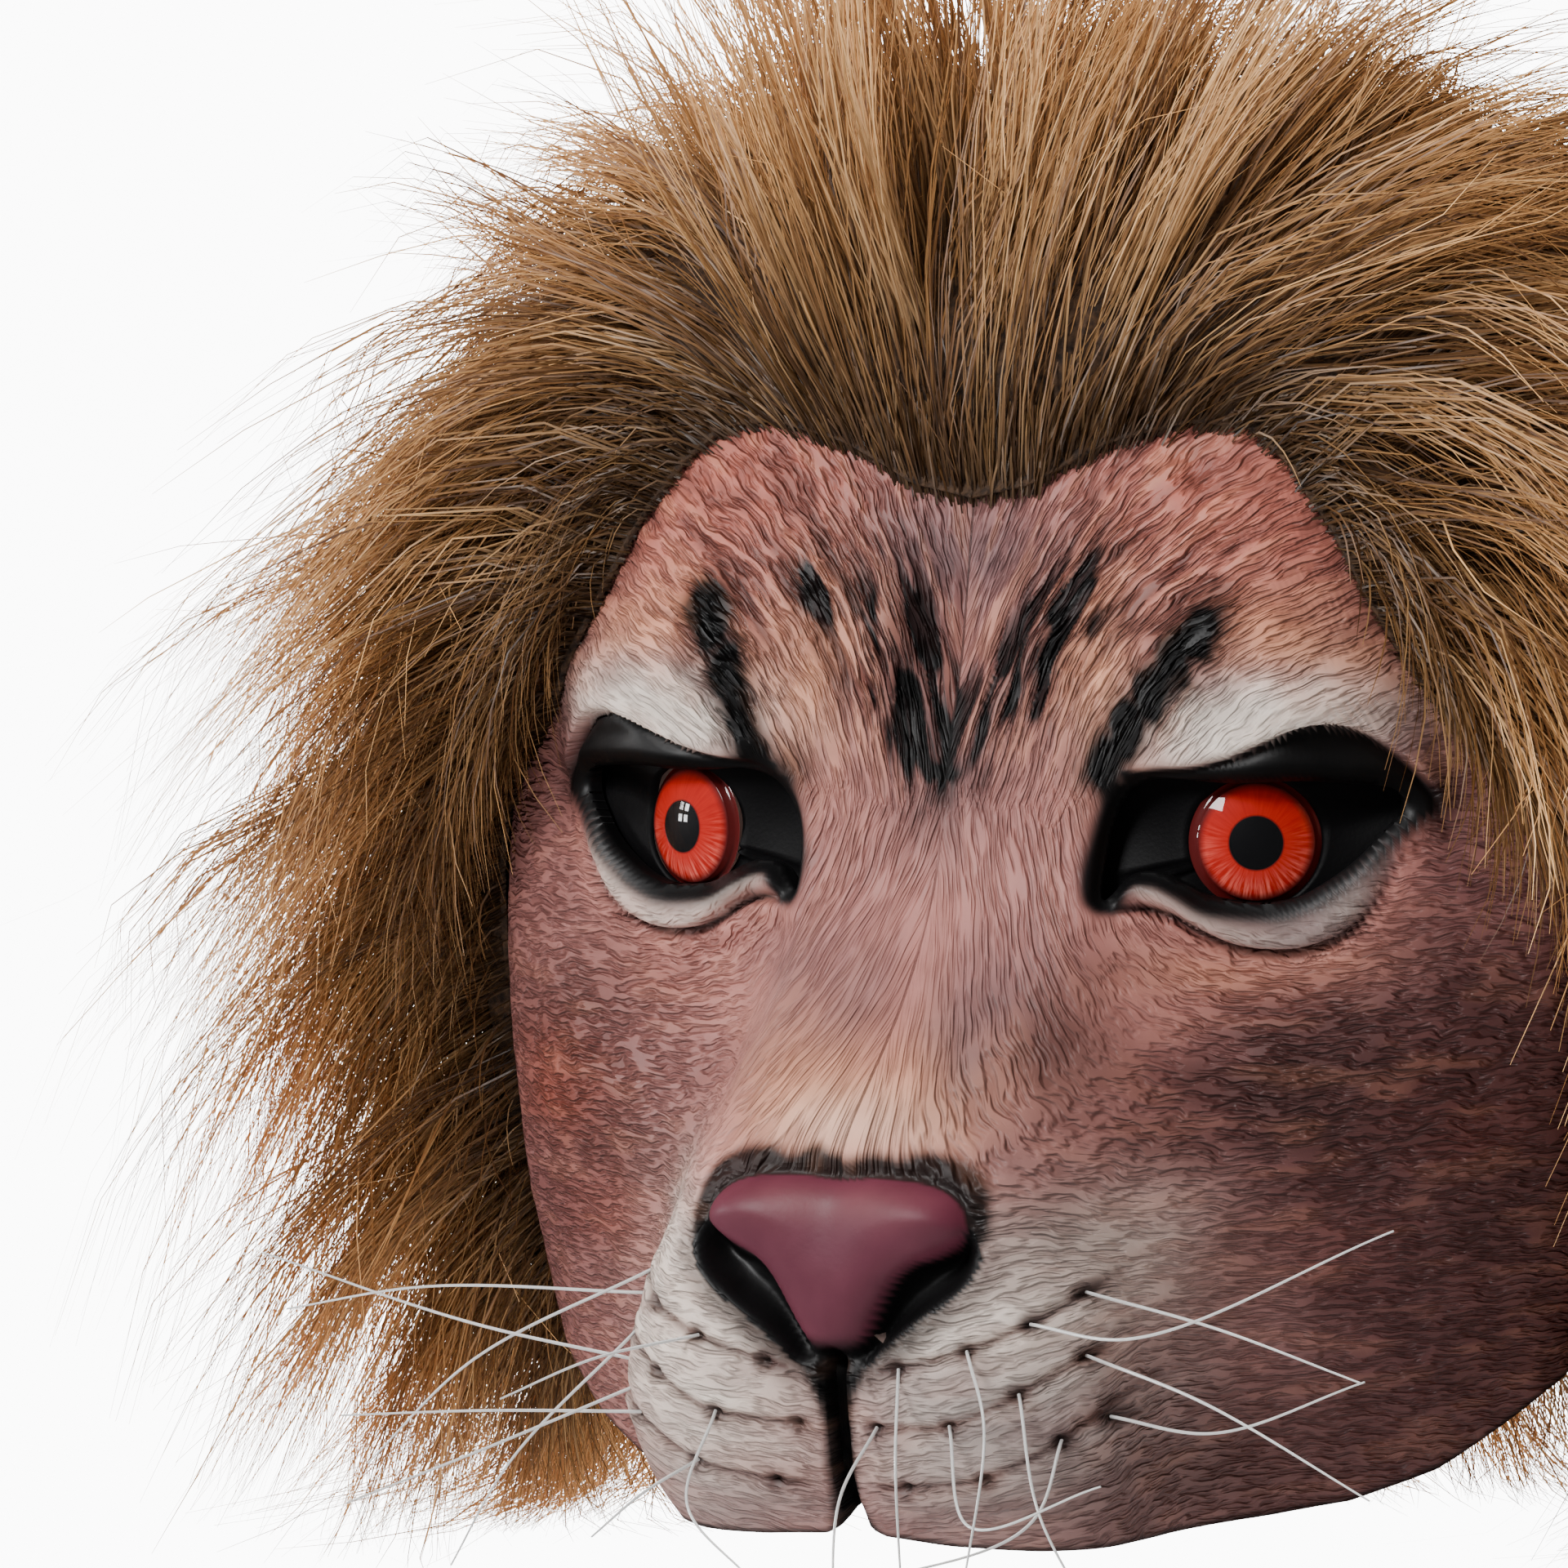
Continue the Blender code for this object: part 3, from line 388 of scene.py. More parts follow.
def solve_field(goal_x, goal_y, along_x, along_y, tight):
    """The smooth field whose slope best matches a goal, and most of all across the given direction."""
    rows, columns = goal_x.shape[0] + 1, goal_x.shape[1] + 1

    def slope(f):
        right = (f[:-1, 1:] - f[:-1, :-1] + f[1:, 1:] - f[1:, :-1]) / 2
        up = (f[1:, :-1] - f[:-1, :-1] + f[1:, 1:] - f[:-1, 1:]) / 2
        return right, up

    def weigh(gx, gy):
        part = gx * along_x + gy * along_y
        return gx + (tight - 1) * part * along_x, gy + (tight - 1) * part * along_y

    def back(gx, gy):
        f = np.zeros((rows, columns))
        f[:-1, 1:] += (gx - gy) / 2
        f[:-1, :-1] += (-gx - gy) / 2
        f[1:, 1:] += (gx + gy) / 2
        f[1:, :-1] += (-gx + gy) / 2
        return f

    found = np.zeros((rows, columns))
    rest = back(*weigh(goal_x, goal_y))
    way = rest.copy()
    power = float((rest**2).sum())
    for _ in range(420):
        moved = back(*weigh(*slope(way)))
        share = power / float((way * moved).sum())
        found += share * way
        rest -= share * moved
        new = float((rest**2).sum())
        way = rest + way * new / power
        power = new
    return found * LIE_STEP


def fur_fields(lie):
    """Solves the fur's coordinates on a grid over the way along the skin and the height."""
    h = np.arange(LIE_LOW, LIE_HIGH, LIE_STEP)
    s = np.arange(0, LIE_REACH, LIE_STEP)
    marks_u, marks_level = face_place(lie[:, 0] * MM, lie[:, 1] * MM - EYE_DROP)
    marks_s = arc_at(marks_u, marks_level)
    cs, ch = np.meshgrid(s[:-1] + LIE_STEP / 2, h[:-1] + LIE_STEP / 2)
    gap = (cs[..., None] - marks_s) ** 2 + (ch[..., None] - lie[:, 1]) ** 2
    weight = 1 / (gap + 30) ** 1.6
    angle = (weight * np.radians(lie[:, 2])).sum(-1) / weight.sum(-1)
    dx, dy = np.cos(angle), np.sin(angle)
    across = solve_field(dy, -dx, dx, dy, 6.0)
    along = solve_field(dx, dy, -dy, dx, 1.0)
    return across - across[np.searchsorted(h, 0), 0], along


UPPER_FUR = fur_fields(UPPER_LIE)
LOWER_FUR = fur_fields(LOWER_LIE)


# The height where the upper fur meets the lower fur, and half the width of their blend, in mm
FUR_SEAM = 2.0
FUR_BLEND = 3.0


def fur_coordinates(around, level, side):
    """The fur's coordinates above and below the eyes in mm, and how far the lower ones hold."""
    height = up_from_eyes(head_points(around, level, True))
    way = arc_at(around, level)
    row, column = (height - LIE_LOW) / LIE_STEP, way / LIE_STEP
    charts = [np.stack([read_grid(a, row, column) * side, read_grid(b, row, column)], -1)
              for a, b in (UPPER_FUR, LOWER_FUR)]
    ragged = 4.5 * lattice_noise(way / 5, height / 5, 12)
    low = step(FUR_SEAM - height + ragged, -FUR_BLEND, FUR_BLEND)
    return charts[0], charts[1] + [31.3, 57.7], low


# The face's outlines and lines as smooth curves, in mm
EYE_CURVE = rounded(EYE_OUTLINE)
NOSE_CURVE = rounded(NOSE_OUTLINE + tuple((-x, h) for x, h in NOSE_OUTLINE[-2:0:-1]), steps=6)
NOSTRIL_CURVE = rounded(NOSTRIL_OUTLINE, steps=6)
LID_CURVE = rounded(LID_FOLD, closed=False)
UPPER_CURVE = rounded(LID_FOLD + UPPER_RIM)
LOWER_CURVE = rounded(LOWER_CREASE + LOWER_RIM)
CREASE_CURVE = rounded(LOWER_CREASE, closed=False)
ROW_CURVES = [rounded(row, closed=False) for row in WHISKER_ROWS]
STREAK_CURVES = [rounded(row, closed=False) for row in (BROW_STREAK_LEFT, BROW_STREAK_RIGHT)]


def bell(value, middle, width):
    """A soft bump of height 1 round a value."""
    return np.exp(-(((value - middle) / width) ** 2))


def face_marks(x, h):
    """Distances to the face's lines and outlines, which the modelling and the paint both use."""
    a = np.abs(x)
    marks = {"eye": outline_depth(a, h, EYE_CURVE, 30), "nose": outline_depth(x, h, NOSE_CURVE, 40)}
    marks["nostril"] = outline_depth(a, h, NOSTRIL_CURVE, 20)
    marks["upper"] = outline_depth(a, h, UPPER_CURVE, 20)
    marks["lower"] = outline_depth(a, h, LOWER_CURVE, 20)
    for name, line in (("lid", LID_CURVE), ("crease", CREASE_CURVE)):
        marks[name], _, _, marks[name + "_share"] = line_distance(a, h, line, 20)
    streaks = [line_distance(a, h, line, 20) for line in STREAK_CURVES]
    marks["streak"] = np.where(x > 0, streaks[0][0], streaks[1][0])
    marks["streak_share"] = np.where(x > 0, streaks[0][3], streaks[1][3])
    rows = [line_distance(a, h, line, 12) for line in ROW_CURVES]
    marks["row"] = np.min([r[0] for r in rows], axis=0)
    nearest = np.argmin([r[0] for r in rows], axis=0)
    marks["row_share"] = np.choose(nearest, [r[3] for r in rows])
    marks["hole"] = np.min([np.hypot(a - hx, h - hh) for hx, hh in HOLES], axis=0)
    return marks


# The carving's plain depth in mm, and where it is deeper or flatter: by how much, on both sides or not, patch
FUR_PLAIN = 0.50
FUR_PATCHES = (
    (1.3, False, (-11.5, 23, 7, 17, 22)),
    (1.3, False, (15.5, 28, 7.5, 19, -33)),
    (0.8, True, (42, 24, 7, 14, -25)),
    (0.35, True, (38, 45, 22, 14, 0)),
    (0.15, True, (72, -50, 25, 22, 0)),
    (-0.28, True, (0, -20, 16, 24, 0)),
    (-0.30, True, (34, -36, 10, 16, 0)),
    (-0.10, True, (25, -100, 20, 20, 0)),
    (-0.25, True, (56, 16, 16, 7, 6)),
)


def fur_depth(x, h, marks):
    """How strongly the fur is carved at each place, in mm."""
    depth = np.full_like(x, FUR_PLAIN)
    for amount, mirrored, row in FUR_PATCHES:
        depth += amount * turned_gauss(x, h, row, mirrored)
    keep = step(-marks["nose"], 0.2, 2.0) * step(-marks["nostril"], 0, 2.0) * step(-marks["eye"], 2.5, 6)
    keep = keep * step(-marks["upper"], -0.4, 1.4) * (1 - 0.3 * step(marks["lower"], 0, 2))
    keep = keep * (1 - 0.7 * bell(x, 0, 1.5))
    return np.clip(depth, 0.05, 2) * keep


def tufts(charts, h):
    """The carved tufts as ridges (1) and grooves (-1)."""
    brows = step(h, 0, 14)
    parts = []
    for chart in charts[:2]:
        across, along = chart[..., 0], chart[..., 1]
        wide = lattice_noise(across / 2.1 + 40, along / 8.5, 5)
        fine = lattice_noise(across / 1.2 + 11, along / 5.5 + 3, 6)
        parts.append(0.75 * wide + 0.6 * brows * fine)
    return np.tanh((parts[0] * (1 - charts[2]) + parts[1] * charts[2]) * 1.8)


def fine_rise(x, h, marks, tuft):
    """The folds, lids, nose, rows and carved fur, in mm above the broad form."""
    a = np.abs(x)
    out = np.zeros_like(x)
    # The brow overhangs the black upper lid, which is a soft roll down to the opening
    ends = step(marks["lid_share"], 0.02, 0.3) * step(1 - marks["lid_share"], 0.0, 0.15)
    over = step(-marks["upper"], -0.2, 1.2) * step(h, 0, 6)
    out += 2.2 * over * bell(marks["lid"], 0, 6) * ends
    out += -1.6 * bell(marks["lid"], -0.2, 1.1) * ends
    # Both lids have a rounded rim round the opening
    rim = -marks["eye"]
    out += 1.3 * bell(rim, 2.8, 2.2) - 0.5 * bell(rim, 0, 1.8)
    # The lower lid is a cushion above its crease
    deep = step(marks["crease_share"], 0.02, 0.3) * step(1 - marks["crease_share"], 0.0, 0.06)
    out += -2.0 * deep * bell(marks["crease"], 0, 0.85)
    out += 1.0 * deep * bell(marks["crease"], 2.3, 2.0)
    out += 0.8 * step(marks["lower"], 0, 3)
    # The nose pad is a cushion with a groove round it
    pad = marks["nose"]
    out += np.where(pad > 0, 3.0 * (1 - np.exp(-((np.maximum(pad, 0) / 3.0) ** 1.2))), 0)
    out += -1.1 * bell(pad, -1.2, 1.5)
    out += 1.0 * turned_gauss(x, h, (17, -64.5, 7, 3.6, 0)) - 1.0 * turned_gauss(x, h, (0, -66, 6, 10, 0))
    # Nostrils and the hollows below the wings
    hole = marks["nostril"]
    out += np.where(hole > 0, -6.5 * (1 - np.exp(-((np.maximum(hole, 0) / 2.6) ** 1.4))), 0)
    # The cleft below the nose
    low = step(-h, 86, 90)
    out += -5.5 * low * bell(a, 0, 1.3 + 0.6 * step(-h, 108, 122))
    # Whisker rows and holes
    fade = step(marks["row_share"], 0.0, 0.1) * step(1 - marks["row_share"], 0.0, 0.35)
    out += -0.75 * fade * bell(marks["row"], 0, 0.8)
    out += 0.45 * fade * bell(marks["row"], 2.6, 1.8)
    out += -1.3 * bell(marks["hole"], 0, 1.0) + 0.35 * bell(marks["hole"], 1.9, 0.8)
    # Carved fur
    out += fur_depth(x, h, marks) * tuft * (0.2 + 0.3 * step(h, 0, 14))
    out += 0.35 * lattice_noise(x / 14 + 50, h / 14, 8) * step(-marks["eye"], 3, 9) * step(-pad, 1, 5)
    return out


# The fine face: columns on each side, rows, its last way round, where its relief fades out, the dark of its
# lower edge, and how far it runs under the hair in metres
FACE_COLUMNS = 160
FACE_ROWS = 306
FACE_SIDE = 1.10
FACE_FADE = 0.06
EDGE_DARK = 0.85
HAIR_MARGIN = 0.013


def lip_z(around):
    """Height of the latex's lower edge."""
    return np.interp(around, *LIP_EDGE.T) * FACE_HEIGHT - EYE_DROP


def hairline_z(around):
    """Height of the mane's front edge."""
    return np.interp(around, *HAIRLINE.T) * FACE_HEIGHT - EYE_DROP


def face_grid():
    """Ways round, heights and sides of the fine face's points, closest together near the middle."""
    dense = np.linspace(0, FACE_SIDE, 2000)
    share = np.cumsum(1 / (0.72 + 0.75 * dense**1.4))
    half = np.interp(np.linspace(0, share[-1], FACE_COLUMNS + 1), np.r_[0, share[:-1]], dense)
    around, side = both_sides(half)
    top = hairline_z(around) + HAIR_MARGIN
    low = lip_z(around)
    share = np.linspace(0, 1, FACE_ROWS + 1)[:, None]
    z = top * (1 - share) + low * share
    return np.broadcast_to(around, z.shape).copy(), z, np.broadcast_to(side, z.shape).copy()


def both_sides(half):
    """The ways round over both sides of the head from those of one side, with their sides."""
    return np.r_[half[:0:-1], half], np.r_[-np.ones(len(half) - 1), np.ones(len(half))]


def mirrored_by(side):
    """The factors that put points of the wearer's left on their own side."""
    return np.stack([side, np.ones_like(side), np.ones_like(side)], -1)


def mesh_piece(name, points, faces, finish):
    """A smooth mesh object from arrays, with its material."""
    mesh = bpy.data.meshes.new(name)
    points = np.ascontiguousarray(points, np.float32)
    faces = np.ascontiguousarray(faces, np.int32)
    count, corners = faces.shape
    mesh.vertices.add(len(points))
    mesh.vertices.foreach_set("co", points.ravel())
    mesh.loops.add(count * corners)
    mesh.loops.foreach_set("vertex_index", faces.ravel())
    mesh.polygons.add(count)
    mesh.polygons.foreach_set("loop_start", np.arange(0, count * corners, corners, dtype=np.int32))
    mesh.update(calc_edges=True)
    mesh.validate()
    mesh.shade_smooth()
    mesh.materials.append(finish)
    piece = bpy.data.objects.new(name, mesh)
    bpy.context.scene.collection.objects.link(piece)
    return piece


def set_values(piece, name, values):
    """Stores one number or one colour for each point of a piece."""
    values = np.asarray(values, np.float32)
    kind = "FLOAT" if values.ndim == 1 else ("FLOAT_VECTOR" if values.shape[1] == 3 else "FLOAT_COLOR")
    field = "value" if kind == "FLOAT" else ("vector" if kind == "FLOAT_VECTOR" else "color")
    made = piece.data.attributes.new(name, kind, "POINT")
    made.data.foreach_set(field, values.ravel())
    return made


def quads_of(rows, columns):
    """Corners of a grid's quads, with the first point at the top left."""
    r, c = np.meshgrid(np.arange(rows - 1), np.arange(columns - 1), indexing="ij")
    at = (r * columns + c).ravel()
    return np.stack([at, at + columns, at + columns + 1, at + 1], 1)


def ring_quads(rows, columns):
    """Corners of the quads of a grid whose last column meets its first."""
    wrap = np.arange(rows - 1) * columns
    closing = np.stack([wrap + columns - 1, wrap + 2 * columns - 1, wrap + columns, wrap], 1)
    return np.concatenate([quads_of(rows, columns), closing])


# Paints in linear light
def srgb(r, g, b):
    """A colour given as it looks on a screen, in linear light."""
    c = np.array([r, g, b]) / 255
    return np.where(c <= 0.04045, c / 12.92, ((c + 0.055) / 1.055) ** 2.4)


PAINTS = {
    "mauve": srgb(166, 110, 104),
    "pink": srgb(206, 136, 124),
    "peach": srgb(246, 168, 128),
    "red": srgb(206, 118, 100),
    "orange": srgb(172, 72, 40),
    "cream": srgb(250, 234, 220),
    "grey": srgb(98, 84, 90),
    "brown": srgb(74, 43, 41),
    "plum": srgb(98, 42, 58),
    "purple": srgb(92, 54, 57),
    "black": srgb(9, 8, 9),
    "charcoal": srgb(24, 21, 23),
}
# Soft patches of paint in the order they go on: paint, strength, then across, up, half spreads and turn in mm
WASHES = (
    ("pink", 0.55, (0, -5, 26, 40, 0)),
    ("red", 0.85, (48, 58, 30, 16, 0)),
    ("red", 0.45, (60, 40, 20, 14, 0)),
    ("purple", 0.55, (88, 40, 14, 26, 0)),
    ("peach", 0.55, (62, 31, 15, 7, -14)),
    ("peach", 0.65, (28, 24, 8, 16, 10)),
    ("mauve", 0.50, (0, 52, 16, 10, 0)),
    ("grey", 0.55, (5, 44, 12, 9, 0)),
    ("grey", 0.45, (0, 8, 10, 14, 0)),
    ("grey", 0.55, (27, -34, 8, 13, 10)),
    ("pink", 0.60, (56, -31, 24, 6, 4)),
    ("brown", 0.55, (84, -40, 20, 13, 0)),
    ("purple", 0.50, (78, -74, 26, 24, 0)),
    ("brown", 0.45, (72, -60, 24, 10, 10)),
    ("orange", 0.45, (84, -52, 13, 9, 0)),
    ("orange", 0.28, (68, -74, 16, 8, 0)),
    ("purple", 0.45, (98, -90, 20, 26, 0)),
    ("peach", 0.40, (14, -42, 14, 9, 0)),
    ("grey", 0.45, (10, -30, 8, 11, 0)),
    ("peach", 0.75, (0, -49, 17, 7, 0)),
    ("cream", 0.30, (0, -50, 12, 5, 0)),
    ("pink", 0.60, (28, -56, 9, 9, 0)),
    ("cream", 0.92, (27, -92, 22, 21, -8)),
    ("cream", 0.75, (36, -74, 12, 9, 30)),
    ("grey", 0.35, (22, -116, 26, 8, 0)),
    ("mauve", 0.60, (58, -96, 8, 26, 6)),
)


# Patches on one side of the face, under and over the cream: paint, strength, streaks, blots, then the patch.
# The dark ones on the wearer's left, the side turned from the light, are partly darker paint and partly
# painted shade
SHADE_AND_PAINT_UNDER_CREAM = (
    ("brown", 0.60, 0.0, 0.0, (50, -112, 26, 16, 20)),
    ("brown", 0.60, 0.0, 0.0, (92, 40, 18, 22, 0)),
    # Painted shadow along the side of the nose bridge, on the wearer's left
    ("brown", 0.62, 0.4, 0.0, (27, -37, 7, 11, 0)),
    ("purple", 0.45, 0.0, 0.0, (33, -66, 9, 13, 30)),
)
SHADE_AND_PAINT_OVER_CREAM = (
    ("grey", 0.70, 0.0, 0.5, (16, -37, 6, 10, 0)),
    ("grey", 0.35, 0.0, 0.5, (28, -52, 10, 10, 0)),
    ("grey", 0.58, 0.0, 0.0, (27, -97, 22, 13, 0)),
    ("brown", 0.88, 0.4, 0.0, (64, -45, 19, 16, 0)),
    ("brown", 0.50, 0.4, 0.0, (44, -48, 11, 10, 0)),
    ("brown", 0.34, 0.0, 0.0, (21, -63, 6, 8, 0)),
    ("brown", 0.28, 0.5, 0.0, (-76, -46, 12, 12, 0)),
)
# The dark fur bundles between the brows: strength, then the patch
BUNDLES = (
    (1.0, (-9.5, 24, 7.5, 17, 15)),
    (1.0, (16, 28, 7, 19, -33)),
    (0.6, (-27, 38, 4, 8, 30)),
    (0.5, (-3, 12, 4, 7, 8)),
)


def paint_face(x, h, marks, chart, tuft):
    """The colour of the face at each point: washes, lids, brows, nose and the dark of the carved fur."""
    a = np.abs(x)
    color = np.broadcast_to(PAINTS["mauve"], (*x.shape, 3)).copy()
    blot = lattice_noise(x / 9, h / 9, 21) * 0.6 + lattice_noise(x / 4, h / 4, 22) * 0.4
    streaky = lattice_noise(chart[..., 0] / 2.6, chart[..., 1] / 16, 23)

    def lay(name, mask):
        m = np.clip(mask, 0, 1)[..., None]
        color[:] = color * (1 - m) + PAINTS[name] * m

    def lay_patches(rows):
        for name, strength, streaks, blots, row in rows:
            patch = turned_gauss(x, h, row, False)
            lay(name, strength * patch * (1 + streaks * streaky + blots * blot))

    for name, strength, row in WASHES:
        patch = turned_gauss(x + blot * 2.2, h + streaky * 1.6, row)
        lay(name, strength * patch ** 0.8 * (1 + 0.25 * streaky + 0.2 * blot))
    # The cheeks on the wearer's left, the side turned from the light, are laid darker: partly darker paint,
    # partly painted shade
    lay("purple", 0.60 * step(x, 30, 76) * step(-h, -30, 20) * (1 + 0.3 * blot))
    lay("brown", 0.60 * step(x, 36, 92) * step(-h, 10, 34) * (1 + 0.3 * blot))
    # Patches under the cream; the dark ones on the wearer's left are partly painted shade
    lay_patches(SHADE_AND_PAINT_UNDER_CREAM)
    # Cream over the eyes and on the lower lids
    white = turned_gauss(x + streaky * 2, h + blot * 2, (56, 16, 15, 6.6, 6)) ** 0.7
    lay("cream", 1.3 * white * step(-marks["upper"], -0.5, 1.0) * step(h, 2, 7))
    lay("pink", 0.65 * turned_gauss(x, h, (52, -23, 19, 5.5, 4), False))
    lay("mauve", 0.55 * step(marks["lower"], -0.8, 2.0))
    spotted = 0.9 + 0.7 * blot + 0.3 * streaky
    lay("cream", 0.60 * step(marks["lower"], -0.6, 3.2) * step(a, 28, 42) * spotted)
    # Grey on the lower lid of the wearer's left only: partly paint, partly painted shade
    lay("grey", 0.55 * step(marks["lower"], -0.8, 2.4) * step(x, 40, 64))
    # Patches over the cream; the dark ones on the wearer's left are partly painted shade
    lay_patches(SHADE_AND_PAINT_OVER_CREAM)
    lay("peach", 0.45 * turned_gauss(x, h, (54, -25, 17, 4.5, 5), False) * step(-marks["lower"], 0, 1.5))
    lay("pink", 0.7 * bell(marks["crease"], 0, 5.0) * step(-marks["lower"], 0, 1.5) * (h < 0))
    # Black lids and sockets
    rim = -marks["eye"]
    ragged = blot * 0.8 + streaky * 0.5
    lay("charcoal", np.where(h < 6, step(5.2 + ragged - rim, 0, 3.4), 0) * (rim > 0))
    lay("black", np.where(rim > 0, step(3.4 - rim, 0, 2.2), 1))
    lay("black", step(marks["upper"], -0.9, 0.3))
    lay("black", 0.9 * turned_gauss(x, h, (83, 3, 4.0, 6, 0)))
    lay("black", 0.92 * turned_gauss(x, h, (31, 6, 4.2, 5.5, 0)))
    lay("black", 0.85 * bell(marks["crease"], 0, 0.75) * step(marks["crease_share"], 0.1, 0.4))
    # Black streaks at the inner ends of the brows and fur bundles between them
    wide = 5.2 + 0.8 * step(x, 0, 1) - 1.5 * marks["streak_share"] + 0.8 * streaky + 1.0 * tuft
    streak = np.exp(-((marks["streak"] / wide) ** 3))
    lay("black", streak * (1.15 + 0.3 * streaky))
    bundle = sum(amount * turned_gauss(x, h, row, False) for amount, row in BUNDLES)
    lay("charcoal", 0.62 * bundle)
    lay("black", 2.6 * bundle * step(-tuft, -0.5, 0.3))
    # Nose pad, its black fringe and the nostrils
    pad = marks["nose"]
    fringe = step(4.9 + 1.8 * streaky + pad, 0, 2.4) * step(-h, 48, 53)
    lay("black", 0.96 * fringe)
    below = step(-h, 66, 72) * turned_gauss(x, h, (10, -79, 15, 10, 38)) ** 0.4
    lay("black", below * step(6.5 + marks["nostril"], 0, 4.5))
    lay("black", np.where(marks["nostril"] > -0.6, 1, 0))
    lay("plum", step(pad, -0.25, 0.35))
    lay("pink", 0.10 * turned_gauss(x, h, (6, -63, 12, 3.2, 0)) * (pad > 0))
    # The cleft, the philtrum and the lip's edge
    cleft = 5.4 - 2.6 * step(-h, 88, 102) + 1.8 * step(-h, 110, 124)
    lay("black", step(cleft + 0.7 * blot - a, -1.2, 1.2) * step(-h, 84, 88))
    spread = 9.5 - 0.6 * (-h - 86) - a
    lay("black", 0.95 * step(spread, -1, 2.5) * step(-h, 84, 87) * step(-pad, 0.1, 0.7) * step(h, -104, -96))
    # Whisker rows and holes
    fade = step(marks["row_share"], 0.0, 0.08) * step(1 - marks["row_share"], 0.0, 0.3)
    lay("brown", 0.75 * fade * bell(marks["row"], 0, 0.75))
    lay("black", 0.9 * bell(marks["hole"], 0, 1.15))
    lay("brown", 0.5 * bell(marks["hole"], 1.4, 0.8))
    # Dark in the carving, light on its ridges
    carve = fur_depth(x, h, marks) * (0.35 + 0.65 * step(h, 0, 14)) * (1 - np.clip(streak + bundle, 0, 1))
    lay("brown", np.clip(carve * 0.75, 0, 0.7) * step(-tuft, 0.1, 0.8))
    lay("peach", np.clip(carve * 0.35, 0, 0.2) * step(tuft, 0.15, 0.8))
    return color


def material(name, color=(0.5, 0.5, 0.5), roughness=0.5, **sockets):
    """A Principled material, with its node tree, links and shader at hand."""
    made = bpy.data.materials.new(name)
    made.use_nodes = True
    tree = made.node_tree
    shader = tree.nodes["Principled BSDF"]
    shader.inputs["Base Color"].default_value = (*color, 1)
    shader.inputs["Roughness"].default_value = roughness
    for key, value in sockets.items():
        shader.inputs[key.replace("_", " ").title().replace("Ior", "IOR")].default_value = value
    return made, tree, shader


def node(tree, kind, sockets=(), **settings):
    """Adds a shader node, sets its properties, and sets or links its inputs."""
    made = tree.nodes.new(kind)
    for key, value in settings.items():
        setattr(made, key, value)
    for key, value in dict(sockets).items():
        if isinstance(value, bpy.types.NodeSocket):
            tree.links.new(value, made.inputs[key])
        else:
            made.inputs[key].default_value = value
    return made


def stored(tree, name, output="Fac"):
    """A value that is stored with the points."""
    return node(tree, "ShaderNodeAttribute", attribute_name=name).outputs[output]


def own_place(tree):
    """The place in the piece's own coordinates."""
    return node(tree, "ShaderNodeTexCoord").outputs["Object"]


def noise(tree, place, scale, detail=2.0, roughness=0.5):
    """Noise over a place, as a number."""
    sockets = {"Vector": place, "Scale": scale, "Detail": detail, "Roughness": roughness}
    return node(tree, "ShaderNodeTexNoise", sockets).outputs["Fac"]


def mapped(tree, value, low, high, new_low=0.0, new_high=1.0, **settings):
    """A number moved from one range to another."""
    sockets = {"Value": value, "From Min": low, "From Max": high, "To Min": new_low, "To Max": new_high}
    return node(tree, "ShaderNodeMapRange", sockets, **settings).outputs[0]


def worked(tree, operation, *values, **settings):
    """The result of a calculation with numbers."""
    return node(tree, "ShaderNodeMath", enumerate(values), operation=operation, **settings).outputs[0]


def stretched(tree, place, factors):
    """A place stretched along each axis."""
    return node(tree, "ShaderNodeVectorMath", {0: place, 1: factors}, operation="MULTIPLY").outputs[0]


def mixed(tree, first, second, share=1.0, blend_type="MIX"):
    """Two colours mixed."""
    sockets = {"Factor": share, 6: first, 7: second}
    return node(tree, "ShaderNodeMix", sockets, data_type="RGBA", blend_type=blend_type).outputs[2]


def ramped(tree, value, *stops):
    """A number turned into a colour by stops, each with its position and colour."""
    made = node(tree, "ShaderNodeValToRGB", {"Fac": value})
    elements = made.color_ramp.elements
    elements[0].position, elements[0].color = stops[0]
    elements[1].position, elements[1].color = stops[-1]
    for position, color in stops[1:-1]:
        elements.new(position).color = color
    return made.outputs[0]


def bumped(tree, height, strength, distance, **normal):
    """The surface's direction, bent by a height."""
    sockets = {"Height": height, "Strength": strength, "Distance": distance, **normal}
    return node(tree, "ShaderNodeBump", sockets).outputs[0]


# The fur's strokes: the range of the noise that makes them, their shade and tint, and depths in metres
STROKE_RANGE = (0.55, 0.90)
STROKE_SHADE = 0.76
STROKE_TINT = (0.38, 0.29, 0.30, 1)
STROKE_DEPTH = 0.0022
GRAIN_DEPTH = 0.00012


